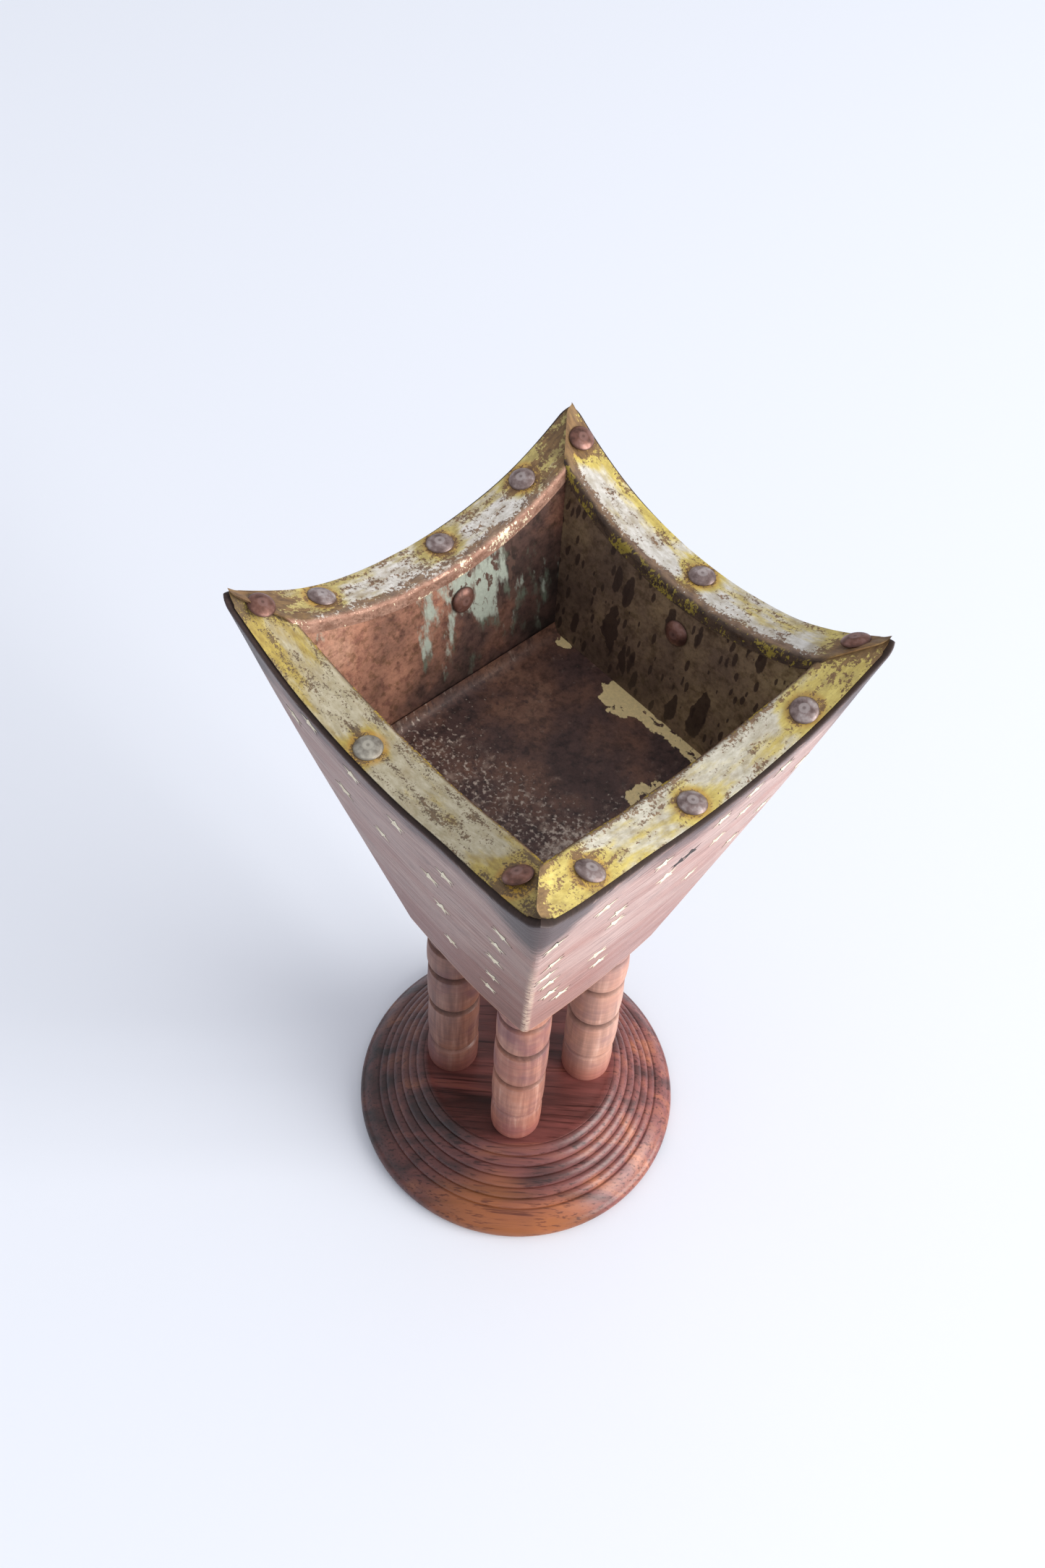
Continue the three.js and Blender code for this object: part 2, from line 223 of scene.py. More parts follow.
# Cup: outlines shared by its panels, board, lining, strips and tacks
cup = {
    "bottomHalf": 23.0,  # half the outer side, at the bottom board's underside
    "topHalf": 50.0,  # half the outer side, at the corner peaks
    "rimSag": 15.0,  # how far the rim dips between two peaks
    "bottomCrown": 1.0,  # how far a side bulges at its middle, at the bottom and at the peaks
    "topCrown": 2.4,
    "wall": 9.0,  # wood
    "tin": 0.5,
    "gap": 0.3,
    "planing": 0.16,  # unevenness that hand planing left on the faces
    "lean": 1.3,  # how far the front right peak leans out along X and along Y
    "lowPeak": 3.0,  # how far that peak stands low
    "highPeaks": 2.7,  # how far up to the other peaks stand high
}
bottomZ = nodeBox("bottom_board")[0][2]
seamZ = (nodeBox("bottom_board")[1][2] + nodeBox("panel_right")[0][2]) / 2
panZ = nodeBox("liner_pan")[0][2]
peakZ = nodeBox("panel_right")[1][2]
slope = (cup["topHalf"] - cup["bottomHalf"]) / (peakZ - bottomZ)
arcRadius = (cup["topHalf"] ** 2 + cup["rimSag"] ** 2) / (2 * cup["rimSag"])
arcCentreZ = peakZ - cup["rimSag"] + arcRadius
liningInset = cup["wall"] + cup["gap"] + cup["tin"]  # from the outer face to the cavity


def outerHalf(z):
    return cup["bottomHalf"] + slope * (z - bottomZ)


def crownAt(z):
    return cup["bottomCrown"] + (cup["topCrown"] - cup["bottomCrown"]) * (z - bottomZ) / (peakZ - bottomZ)


def rimZ(t):
    return arcCentreZ - np.sqrt(arcRadius ** 2 - t ** 2)


def outerFace(t, z):
    # From the axis to the crowned outer face at place t along the side: half + crown (1 - (t / half)^2).
    half = outerHalf(z)
    return half + crownAt(z) * (1 - (t / half) ** 2)


def joinRows(*parts):
    # Stacks the parts of a section; each gives rise, lift, inset, round and crown, as numbers or arrays.
    full = [np.broadcast_arrays(*[np.atleast_1d(value).astype(float) for value in part]) for part in parts]
    return [np.concatenate(column)[:, None] for column in zip(*full)]


def sideSurface(rows, share, turn=0.0, lowZ=0.0):
    # A surface on side 0, from a section's rows and a share of the side and a turn for each column.
    # z = low + (rim height at t - low) rise + lift, and the reach is E = half width at z - inset.
    # t = share (E - round) + round sin(turn), and the distance from the axis is
    # n = E - round (1 - cos(turn)) + crown (crown at z) (1 - (t / T)^2), where T is t at the mitre.
    rise, lift, inset, rounding, crown = rows
    share, turn = np.broadcast_arrays(np.asarray(share, float), turn)
    z = lowZ + (peakZ - cup["rimSag"] / 2 - lowZ) * rise + lift + 0 * share
    for attempt in range(14):  # t and z depend on each other a little, and settle in a few rounds
        reach = outerHalf(z) - inset
        t = share * (reach - rounding) + rounding * np.sin(turn)
        z = lowZ + (rimZ(np.clip(t, -arcRadius, arcRadius)) - lowZ) * rise + lift
    mitre = reach - rounding * (1 - math.cos(math.pi / 4))
    n = reach - rounding * (1 - np.cos(turn)) + crown * crownAt(z) * (1 - np.minimum(1, (t / mitre) ** 2))
    return n, t, z


def sideColumns(count, roundSteps):
    # Shares from -1 to 1, closer near the ends, then the turn over half a rounded corner at each end.
    middle = np.sin(np.linspace(-1, 1, count) * np.pi / 2) * 0.35 + np.linspace(-1, 1, count) * 0.65
    bend = np.linspace(0, np.pi / 4, roundSteps + 1)[1:]
    share = np.concatenate([np.full(roundSteps, -1.0), middle, np.full(roundSteps, 1.0)])
    turn = np.concatenate([-bend[::-1], np.zeros(count), bend])
    return share, turn


def settle(points):
    # The cup's uneven making: its front right peak leans out and stands low, and the others stand high.
    # front and far rise from 0 over the last part of the way from the axis to a peak.
    toFront = (points[..., 0] - points[..., 1]) / (2 * cup["topHalf"])
    toRight = (points[..., 0] + points[..., 1]) / (2 * cup["topHalf"])
    front = smoothStep(0.62, 1.0, toFront)
    far = 0.4 * smoothStep(0.72, 1.0, -toFront) + smoothStep(0.72, 1.0, np.abs(toRight))
    moved = np.array(points, float)
    moved[..., 0] += cup["lean"] * front
    moved[..., 1] -= cup["lean"] * front
    moved[..., 2] += cup["highPeaks"] * far - cup["lowPeak"] * front
    return moved


def onSide(n, t, z, side):
    # Points of a surface made for side 0, on their own side of the settled cup.
    return settle(turnSide(np.stack([n, t, z], -1), side)).reshape(-1, 3)


def faceUneven(t, z, side):
    # How far hand planing leaves side's face from its outline, fading out at the arrises.
    fade = smoothStep(0, 6, outerHalf(z) - np.abs(t))
    return cup["planing"] * ripple(t, z, 40 + side, 34) * fade


# Turned base
base = {
    "foot": 47.6,
    "edge": 49.0,
    "edgeHeight": 4.0,
    "edgeRound": 2.2,
    "edgeShoulder": 0.8,  # how much farther the edge's upper half rises than its lower half drops
    "bevelBulge": 0.55,
    "plateau": 29.5,
    "plateauSunk": 0.22,  # how far the plateau lies below its own lip
    "rings": 43.5,  # outer end of the rings
    "ringsHeight": 8.5,
    "ringCount": 6,
    "grooveDepth": 0.65,
    "grooveShare": 0.85,  # how much of that depth lies under the slope
    "segments": 192,
}


def baseProfile():
    # Radius and height from the middle of the underside out, over the rounded edge, the plain bevel and
    # the rings, each bead a half wave |sin|^0.6 on the slope with a groove between, to the flat plateau.
    height = nodeBox("base_disc")[1][2]
    edge, foot, low = base["edge"], base["foot"], base["edgeHeight"]
    bend = np.linspace(-np.pi / 2, np.pi * 0.36, 22)
    up = low / 2 + (low / 2 + base["edgeShoulder"] * (bend > 0)) * np.sin(bend)
    rounded = np.stack([edge - base["edgeRound"] * (1 - np.cos(bend)), up], -1)
    start = rounded[-1]
    along = np.linspace(0, 1, 14)[1:]
    bevelEnd = np.array([base["rings"], base["ringsHeight"]])
    bevel = start + (bevelEnd - start) * along[:, None]
    bevel[:, 1] += base["bevelBulge"] * np.sin(np.pi * along)
    count = base["ringCount"]
    part = np.linspace(0, count, count * 16 + 1)[1:]
    onSlope = bevelEnd + (np.array([base["plateau"], height]) - bevelEnd) * (part / count)[:, None]
    way = np.array([bevelEnd[0] - base["plateau"], 0]) + np.array([0, height - bevelEnd[1]])
    outward = np.array([height - bevelEnd[1], bevelEnd[0] - base["plateau"]]) / np.hypot(*way)
    bead = np.abs(np.sin(np.pi * part)) ** 0.6
    rings = onSlope + outward * (base["grooveDepth"] * (bead - base["grooveShare"]))[:, None]
    sunk = base["plateauSunk"]
    lip = base["plateau"] - np.array([0.5, 1.2, 2.0, 2.6])
    plateau = np.stack([lip, height - np.array([0.05, 0.0, 0.12, sunk])], -1)
    flat = np.stack([np.linspace(base["plateau"] - 4, 2, 10), np.full(10, height - sunk)], -1)
    under = np.stack([np.linspace(4, foot - 2.6, 6), np.zeros(6)], -1)
    profile = np.concatenate([[[0, 0]], under, rounded, bevel, rings, plateau, flat, [[0, height - sunk]]])
    groove = np.zeros(len(profile))
    firstRing = 1 + len(under) + len(rounded) + len(bevel)
    # painted shade: how dark each point of the rings is painted, darkest in the grooves between beads, with a
    # dark line where the bevel meets the rings
    groove[firstRing:firstRing + len(rings)] = (1 - bead) ** 2
    groove[firstRing - 1] = 1
    return profile, groove


def buildBase(material):
    profile, groove = baseProfile()
    points, faces, (grooveShade,) = revolve(profile, base["segments"], groove)
    angle = np.arctan2(points[:, 1], points[:, 0])
    points[:, 2] *= 1 + 0.002 * np.sin(2 * angle)
    makePiece("turned_base", points, faces, material, ["base_disc"], {"groove": grooveShade}, 50)


# Turned legs
leg = {
    "radius": 7.6,
    "groove": 5.6,
    "tenon": 4.5,
    "tenonDepth": 6,  # of the lower one in the base
    "swell": 0.035,  # how much slimmer a barrel is at its ends, as a share of its radius
    "barrelEnd": 3.4,  # length of a barrel's rounded lower end, above a groove
    "shoulder": 0.9,  # length of a barrel's square upper end, below a groove
    "footRound": 1.6,  # height of the rounded foot, and how far it draws in
    "footIn": 0.7,
    "wobble": 0.012,
    "segments": 72,
    # painted light: how much lighter or darker each leg is painted, by how the light falls on it
    "paintedLight": {"leg_front_right": 1.0, "leg_back_right": 1.3, "leg_back_left": 0.9, "leg_front_left": 0.58},
    "cuts": {  # heights of the grooves above the base, and how deep each is cut, 0 to 1
        "leg_front_right": [(15.0, 0.25), (33.5, 1.0), (51.5, 1.0), (66.5, 0.8)],
        "leg_back_right": [(15.5, 0.22), (34.3, 1.0), (53.0, 0.9), (67.0, 0.8)],
        "leg_back_left": [(14.0, 0.25), (34.5, 1.0), (53.0, 1.0), (66.5, 0.8)],
        "leg_front_left": [(13.6, 0.3), (36.0, 1.0), (54.6, 1.0), (68.0, 0.8)],
    },
}


def legProfile(name, rng, baseTop, boardLow, boardTenon):
    # Radius and height up the leg. Between two grooves the radius is r (1 - swell (2 share - 1)^2). Below
    # each groove a square shoulder drops in, and above it the barrel's rounded end closes in, both as
    # r - (r - groove) depth (1 - d / length)^power at a distance d from the groove.
    length = boardLow - baseTop
    cuts, depth = np.array(leg["cuts"][name]).T
    ends = np.concatenate([[0], cuts, [length]])
    nearCuts = [cut + np.linspace(-1.2, 3.6, 32) for cut in cuts]
    s = np.unique(np.concatenate([np.linspace(0, length, 120), *nearCuts]))
    span = np.clip(np.searchsorted(ends, s, side="right") - 1, 0, len(cuts))
    share = (s - ends[span]) / (ends[span + 1] - ends[span])
    size = leg["radius"] * rng.uniform(0.97, 1.01, len(cuts) + 1)
    radius = size[span] * (1 - leg["swell"] * (2 * share - 1) ** 2)
    for cut, deep in zip(cuts, depth):
        away = s - cut
        above = np.clip(1 - away / leg["barrelEnd"], 0, 1) ** 2.2 * (away >= 0)
        below = np.clip(1 + away / leg["shoulder"], 0, 1) ** 1.3 * (away < 0)
        radius -= (radius - leg["groove"]) * deep * (above + below)
    radius -= leg["footIn"] * np.clip(1 - s / leg["footRound"], 0, 1) ** 2
    # painted shade: how dark each point is painted, strongest just above each groove's bottom, where the
    # barrel above turns down away from the light
    near = (s[:, None] - cuts - 0.3) / 1.0
    barrelShadow = np.max(np.exp(-(near ** 2)) * depth, 1)
    body = np.stack([radius, baseTop + s], -1)
    tenonEnd = baseTop - leg["tenonDepth"]
    low = [[0, tenonEnd], [leg["tenon"], tenonEnd], [leg["tenon"], baseTop - 0.05]]
    high = [[leg["tenon"], boardLow + 0.02], [leg["tenon"], boardTenon], [0, boardTenon]]
    profile = np.concatenate([low, body, high])
    return profile, np.concatenate([np.zeros(3), barrelShadow, np.zeros(3)])


def buildLegs(material):
    baseTop = nodeBox("base_disc")[1][2] - 0.25
    for index, name in enumerate(legNames):
        low, high = nodeBox(name)
        rng = np.random.default_rng(11 + index)
        profile, barrelShadow = legProfile(name, rng, baseTop, bottomZ, high[2])
        points, faces, (groove,) = revolve(profile, leg["segments"], barrelShadow)
        angle = np.arctan2(points[:, 1], points[:, 0])
        wobble = np.cos(angle - rng.uniform(0, 6)) * np.sin(points[:, 2] * 0.35 + rng.uniform(0, 6))
        points[:, :2] *= 1 + leg["wobble"] * wobble[:, None]
        points[:, :2] += (low[:2] + high[:2]) / 2
        layers = {"groove": groove, "tone": np.full(len(points), leg["paintedLight"][name])}
        makePiece("turned_" + name, points, faces, material, [name], layers, 50)


# Panels and the bottom board
panel = {
    "columns": 66,
    "roundSteps": 5,
    "rows": 90,
    "cornerRound": 1.4,
    "peakRound": 3.6,
    "rimRound": 0.9,
    "boardRound": 1.0,
}


def faceLayers(n, t, z, side):
    # Places in mm along the side and up it, and the distances to the rim and to the nearest corner edge.
    mitre = outerHalf(z)
    place = np.stack([t + grainShift["panel"] * side, z - bottomZ, n], -1).reshape(-1, 3)
    return {"place": place, "rimGap": (rimZ(t) - z).ravel(), "cornerGap": (mitre - np.abs(t)).ravel()}


def buildPanels(material):
    rise = np.linspace(0, 1, panel["rows"])
    bend = np.radians(np.linspace(0, 90, 7))[1:]
    r, corner, peak, wall = panel["rimRound"], panel["cornerRound"], panel["peakRound"], cup["wall"]
    rows = joinRows(
        (rise, -r * rise, 0, corner + (peak - corner) * smoothStep(0.78, 1, rise), 1),
        (1, r * (np.sin(bend) - 1), r * (1 - np.cos(bend)), peak, 1),
        (1, 0, np.linspace(1.6, wall, 5), np.linspace(peak, 0, 5), np.linspace(1, 0, 5)),
        (rise[::-1][1::9], 0, wall, 0, 0),
    )
    share, turn = sideColumns(panel["columns"], panel["roundSteps"])
    faces = tubeFaces(len(rows[0]), len(share))
    outside = np.arange(len(rows[0])) < panel["rows"] + 6
    for side, name in enumerate(sideNames):
        n, t, z = sideSurface(rows, share, turn, seamZ)
        n = n + faceUneven(t, z, side) * outside[:, None]
        points = onSide(n, t, z, side)
        layers = faceLayers(n, t, z, side)
        makePiece("wood_panel_" + name, points, faces, material, ["panel_" + name], layers, 35)


def buildBoard(material):
    # The board's outline at each height is the four sides' sections, one after another, and its top and
    # underside close on the axis.
    bend = np.radians(np.linspace(90, 0, 7))
    r, corner = panel["boardRound"], panel["cornerRound"]
    deep = seamZ - bottomZ
    rows = joinRows(
        (0, 0, 6, 0.5, 0.5),
        (0, r * (1 - np.sin(bend)), r * (1 - np.cos(bend)), corner, 1),
        (0, np.linspace(r + 1, deep, 6), 0, corner, 1),
        (0, deep, 6, 0.5, 0.5),
    )
    share, turn = sideColumns(panel["columns"], panel["roundSteps"])
    share, turn = share[:-1], turn[:-1]  # each side's last column is the next side's first
    sides = []
    layers = []
    for side in range(4):
        n, t, z = sideSurface(rows, share, turn, bottomZ)
        n = n + faceUneven(t, z, side)
        sides.append(turnSide(np.stack([n, t, z], -1), side))
        along = t + grainShift["panel"] * side
        layers.append(np.stack([along, z - bottomZ, n, outerHalf(z) - np.abs(t)], -1))
    ring = np.concatenate(sides, 1)
    values = np.concatenate(layers, 1).reshape(-1, 4)
    values = np.concatenate([values, [[0, 0, 0, 20], [0, deep, 0, 20]]])
    points = np.concatenate([ring.reshape(-1, 3), [[0, 0, bottomZ], [0, 0, seamZ]]])
    faces = cappedFaces(len(rows[0]), 4 * len(share))
    given = {"place": values[:, :3], "cornerGap": values[:, 3], "rimGap": 100 - values[:, 1]}
    makePiece("cup_bottom_board", points, faces, material, ["bottom_board"], given, 35)


# Star inlays: places along each side and below the rim, in mm, and the places of those that have fallen out
stars = {
    "radius": 2.9,
    "waist": 0.43,  # inner corners, as a share of the radius
    "proud": 0.05,
    "slit": 0.35,  # width of the dark glue line round each star, partly painted shade of the gap
    "glueProud": 0.015,
    "depth": 0.7,
    "right": [
        (-27, 15), (-18, 28), (-16, 36), (-40, 19), (-34, 38), (-33, 49), (-29, 59), (-25, 71), (-19, 79),
        (-13, 60), (-9, 71), (-12, 10), (-5, 25), (11, 46), (5, 9), (17, 21), (31, 40), (13, 6), (12, 28),
        (26, 50), (23, 9), (37, 29),
    ],
    "front": [
        (-22, 4), (-33, 18), (-10, 8), (-21, 31), (3, 12), (-9, 33), (9, 29), (17, 18), (8, 46), (4, 72),
        (33, 25), (28, 39), (24, 53), (19, 71), (15, 84),
    ],
    "back": [
        (-35, 15), (-31, 29), (-27, 44), (-22, 58), (-17, 74), (-20, 9), (-9, 24), (2, 38), (11, 11),
        (12, 56), (24, 13), (36, 20), (32, 34), (28, 49), (23, 64), (17, 80),
    ],
    "left": [
        (-36, 18), (-32, 33), (-28, 47), (-23, 62), (-17, 78), (-23, 10), (-11, 30), (-7, 9), (1, 47),
        (9, 8), (22, 11), (35, 17), (31, 31), (27, 46), (22, 61), (16, 77),
    ],
    "lost": {"right": [(-3, 20), (0, 19)], "back": [(-4, 8)], "left": [(8, 25)], "front": []},
}


def starPoints(places, side, grow, proud, seed):
    # Closed five-pointed tablets on side 0. Along the outline the radius runs straight between points and
    # waists; rings at shares 0, 0.5 and 1 of it lie proud of the crowned face, and one more lies deep in it.
    rng = np.random.default_rng(seed)
    corner = np.arange(20) / 20 * 2 * np.pi
    tip = np.where(np.arange(20) % 4 == 0, 1.0, np.where(np.arange(20) % 4 == 2, stars["waist"], 0.0))
    radius = stars["radius"] + grow
    x, y = radius * tip * np.cos(corner), radius * tip * np.sin(corner)
    halfway = tip == 0
    x[halfway] = ((np.roll(x, 1) + np.roll(x, -1)) / 2)[halfway]
    y[halfway] = ((np.roll(y, 1) + np.roll(y, -1)) / 2)[halfway]
    count = len(places)
    place = np.array(places, float)
    turn = rng.uniform(0, 2 * np.pi, count)[:, None]
    size = rng.uniform(0.9, 1.08, count)[:, None]
    across = size * (np.cos(turn) * x - np.sin(turn) * y)
    up = size * (np.sin(turn) * x + np.cos(turn) * y)
    share = np.array([1, 1, 0.5])[None, :, None]
    t = place[:, 0][:, None, None] + across[:, None, :] * share
    z = (rimZ(place[:, 0]) - place[:, 1])[:, None, None] + up[:, None, :] * share
    t = np.concatenate([t.reshape(count, -1), place[:, :1], place[:, :1]], 1)
    centreZ = (rimZ(place[:, 0]) - place[:, 1])[:, None]
    z = np.concatenate([z.reshape(count, -1), centreZ, centreZ], 1)
    height = np.concatenate([np.full(20, -stars["depth"]), np.full(40, proud), [-stars["depth"], proud]])
    n = outerFace(t, z) + faceUneven(t, z, side) + height
    every = [[corner + 62 * star for corner in face] for star in range(count) for face in cappedFaces(3, 20)]
    return onSide(n, t, z - slope * height, side), every


def buildStars(inlay, glue):
    for side, name in enumerate(sideNames):
        points, faces = starPoints(stars[name], side, 0, stars["proud"], 300 + side)
        makePiece("star_inlays_" + name, points, faces, inlay, smoothAngle=30)
        # the lost stars get only the dark tablet, painted shade for their empty pockets with the glue left in
        # them
        every = stars[name] + stars["lost"][name]  # the same seed turns the stars and their glue and gap shade alike
        points, faces = starPoints(every, side, stars["slit"], stars["glueProud"], 300 + side)
        makePiece("star_glue_and_gap_shade_" + name, points, faces, glue, smoothAngle=30)


# Tin lining: four walls and a pan
lining = {
    "columns": 60,
    "rows": 50,
    "dents": 0.28,
    "panDents": 0.25,
    "panLines": 64,
    "fold": 3.0,
    "belowRim": 0.2,
}


def buildLining(wallMaterials, panMaterial):
    rise = np.linspace(0, 1, lining["rows"])
    rows = joinRows(
        (rise[::7], -lining["belowRim"], liningInset - cup["tin"], 0, 0),
        (rise[::-1], -lining["belowRim"], liningInset, 0, 0),
    )
    inner = np.arange(len(rows[0])) >= len(rise[::7])
    share = np.linspace(-1, 1, lining["columns"])
    faces = tubeFaces(len(rows[0]), len(share))
    for side, name in enumerate(sideNames):
        n, t, z = sideSurface(rows, share, 0.0, panZ)
        fade = smoothStep(0, 5, n - np.abs(t)) * smoothStep(0, 6, z - panZ)
        dent = lining["dents"] * ripple(t, z, 60 + side, 30) * fade
        n = n - np.where(inner[:, None], np.abs(dent), 0)
        place = np.stack([t, z - panZ, n], -1).reshape(-1, 3)
        points = onSide(n, t, z, side)
        layers = {"place": place, "rimGap": (rimZ(t) - z).ravel()}
        material = wallMaterials[side]
        node = "liner_wall_" + name
        makePiece("tin_wall_" + name, points, faces, material, [node], layers)
    half = outerHalf(panZ) - liningInset + 0.1
    line = np.linspace(-half, half, lining["panLines"])
    down = np.concatenate([line, line[::-1][::6]])
    under = np.arange(len(down)) >= len(line)
    x, y = np.meshgrid(line, down)
    z = np.where(under[:, None], panZ, panZ + cup["tin"])
    fold = lining["fold"]
    near = np.clip(fold - (x + half), 0, fold)
    curl = fold - np.sqrt(fold ** 2 - near ** 2)
    fade = smoothStep(0, 5, half - np.abs(x)) * smoothStep(0, 5, half - np.abs(y))
    z = z + np.where(under[:, None], 0, lining["panDents"] * ripple(x, y, 70, 26) * fade) + curl
    points = np.stack([x, y, z], -1).reshape(-1, 3)
    layers = {"place": points - [0, 0, panZ]}
    faces = tubeFaces(len(down), len(line))
    makePiece("tin_pan", points, faces, panMaterial, ["liner_pan"], layers)


# Rim strips: painted tin, folded over the cavity's edge
strip = {
    "band": 1.3,  # wood left bare outside the strip
    "under": 0.2,  # the strip's underside above the wood
    "fold": 1.1,
    "lip": 3.3,
    "columns": 150,
    "waves": 0.22,  # unevenness of the fold line
    "ridges": 0.10,  # and of the flat
    # which ends lie on their neighbour: the low one and the high one
    "over": {"right": (1, 0), "back": (1, 1), "left": (0, 1), "front": (0, 0)},
    "overlap": 1.3,
    "overlapRise": 0.12,  # between a strip's end and the neighbour under it
    "cornerCut": 3.4,
    "endHalf": 43.5,  # half the length of a strip's top
}
tackPlaces = {"right": [-32, -3, 29], "back": [-1], "left": [-30, -5, 28], "front": [-8]}
tackInset = 5.0
cornerTacks = {  # the side each is on, its place along the side and its distance in from the outer face
    "back_right": (1, -42.0, 4.0),
    "back_left": (1, 41.6, 4.4),
    "front_left": (2, 43.5, 6.5),
    "front_right": (3, 37.3, 5.9),
}


def buildStrips(materials):
    thick, fold = cup["tin"], strip["fold"]
    foldInset = liningInset + 0.1 + thick
    band = strip["band"]
    flat = np.linspace(band, foldInset - fold, 12)
    bend = np.radians(np.linspace(0, 90, 9))[1:]
    drop = np.linspace(fold, strip["lip"], 7)[1:]
    top = strip["under"] + thick
    crown = 1 - (flat - band) / (foldInset - band)
    inward, down = np.sin(bend), 1 - np.cos(bend)
    foldCrown = crown[-1] * (1 - bend / bend[-1])
    small = fold - thick
    rows = joinRows(
        (1, top, flat, 0, crown),
        (1, top - fold * down, foldInset - fold + fold * inward, 0, foldCrown),
        (1, top - drop, foldInset, 0, 0),
        (1, top - drop[::-1], foldInset - thick, 0, 0),
        (1, top - thick - small * down[::-1], foldInset - fold + small * inward[::-1], 0, foldCrown[::-1]),
        (1, top - thick, flat[::-1], 0, crown[::-1]),
    )
    # how far each row lies past the fold's start
    length = np.concatenate([flat - flat[-1], fold * bend, fold * bend[-1] + drop - fold])
    length = np.concatenate([length, length[::-1]])[:, None]
    for side, name in enumerate(sideNames):
        overLow, overHigh = strip["over"][name]
        share = np.linspace(-1, 1, strip["columns"])
        reach = strip["overlap"] / strip["endHalf"] * smoothStep(band + 0.4, band + 3, rows[2])
        share = share * (1 + reach * np.where(share > 0, overHigh, overLow) * np.abs(share) ** 8)
        n, t, z = sideSurface(rows, share)
        past = np.abs(t) - n + band
        lies = np.where(t > 0, overHigh, overLow)
        z = z + (thick + strip["overlapRise"]) * smoothStep(-2.6 + band, 0.2 + band, past) * lies
        wave = strip["waves"] * ripple(t, 0 * t, 80 + side, 22)
        n = n + wave * smoothStep(0, 6, outerHalf(z) - np.abs(t) - 3) * (0.4 + 0.6 * (length > 0))
        z = z + strip["ridges"] * ripple(t, n, 90 + side, 17)
        # the outer corner is cut round: along the diagonal d <= sqrt(2) (E - r) + sqrt(r^2 - e^2)
        cut = strip["cornerCut"]
        diagonal, off = (n + np.abs(t)) / math.sqrt(2), (n - np.abs(t)) / math.sqrt(2)
        limit = math.sqrt(2) * (outerHalf(z) - band - cut) + np.sqrt(np.clip(cut ** 2 - off ** 2, 0, None))
        pull = np.where(off < cut / math.sqrt(2), np.clip(diagonal - limit, 0, None), 0) / math.sqrt(2)
        n, t = n - pull, t - pull * np.sign(t)
        atCorners = [place for at, place, inset in cornerTacks.values() if at == side]
        tackT = np.array(tackPlaces[name] + atCorners, float)
        tackN = outerFace(tackT, rimZ(tackT)) - tackInset
        gap = np.min(np.hypot(t[..., None] - tackT, n[..., None] - tackN), -1)
        layers = {
            "place": np.stack([t + grainShift["strip"] * side, n, length + 0 * t], -1).reshape(-1, 3),
            "past": (length + 0 * t).ravel(),
            "tackGap": gap.ravel(),
            "cornerGap": (outerHalf(z) - np.abs(t)).ravel(),
            "seamGap": (n - np.abs(t)).ravel(),
        }
        points = onSide(n, t, z, side)
        faces = tubeFaces(len(rows[0]), strip["columns"])
        material = materials[side]
        node = "rim_strip_" + name
        makePiece("tin_strip_" + name, points, faces, material, [node], layers, 45)


# Tacks
tack = {
    "radius": 3.15,
    "height": 1.35,
    "rim": 0.22,
    "ringRadius": 0.8,  # of the ring pressed into the dome
    "pressed": 0.12,
    "shank": 0.8,
    "length": 7.0,
    "point": 1.6,
    "dent": 0.05,
    "tilt": 0.05,
    "segments": 40,
}
wallTackPlace = -4.0
wallTackDrop = 24.0


def tackProfile():
    # Radius and height: a pointed shank, a thin rim, then a dome z = rim + (height - rim) (1 - (r / R)^2)^0.7
    # with a ring and a small pit at the middle pressed in.
    r = tack["radius"] * np.sqrt(1 - np.linspace(0, 1, 34) ** 1.6)
    dome = tack["rim"] + (tack["height"] - tack["rim"]) * (1 - (r / tack["radius"]) ** 2) ** 0.7
    pressed = np.exp(-(((r - tack["ringRadius"]) / 0.16) ** 2)) + np.exp(-((r / 0.26) ** 2))
    dome -= tack["pressed"] * pressed
    shank, end = tack["shank"], -tack["length"]
    low = [[0, end], [shank, end + tack["point"]], [shank, 0], [tack["radius"] * 0.97, 0]]
    return np.concatenate([low, np.stack([r, dome], -1)])


def placeTack(name, foot, axis, material, seed):
    # Turns a tack so that its head points along the axis, with its own slight dents and tilt.
    rng = np.random.default_rng(seed)
    profile = tackProfile()
    points, faces, (radius,) = revolve(profile, tack["segments"], profile[:, 0])
    head = points[:, 2] > 0.05
    dent = tack["dent"] * ripple(points[:, 0], points[:, 1], seed, 3.4) * smoothStep(3.2, 1.5, radius)
    points[:, 2] += np.where(head, dent, 0)
    angle = np.arctan2(points[:, 1], points[:, 0])
    points[:, :2] *= 1 + 0.02 * np.cos(2 * angle + rng.uniform(0, 6))[:, None]
    lean = Vector(axis).normalized() + tack["tilt"] * Vector(rng.uniform(-1, 1, 3))
    turn = np.array(Vector((0, 0, 1)).rotation_difference(lean).to_matrix())
    local = points.copy()
    points = points @ turn.T + settle(np.array(foot))
    layers = {"headRadius": radius, "place": local + 20.0 * (seed % 17)}
    makePiece("iron_" + name, points, faces, material, [name], layers, 50)


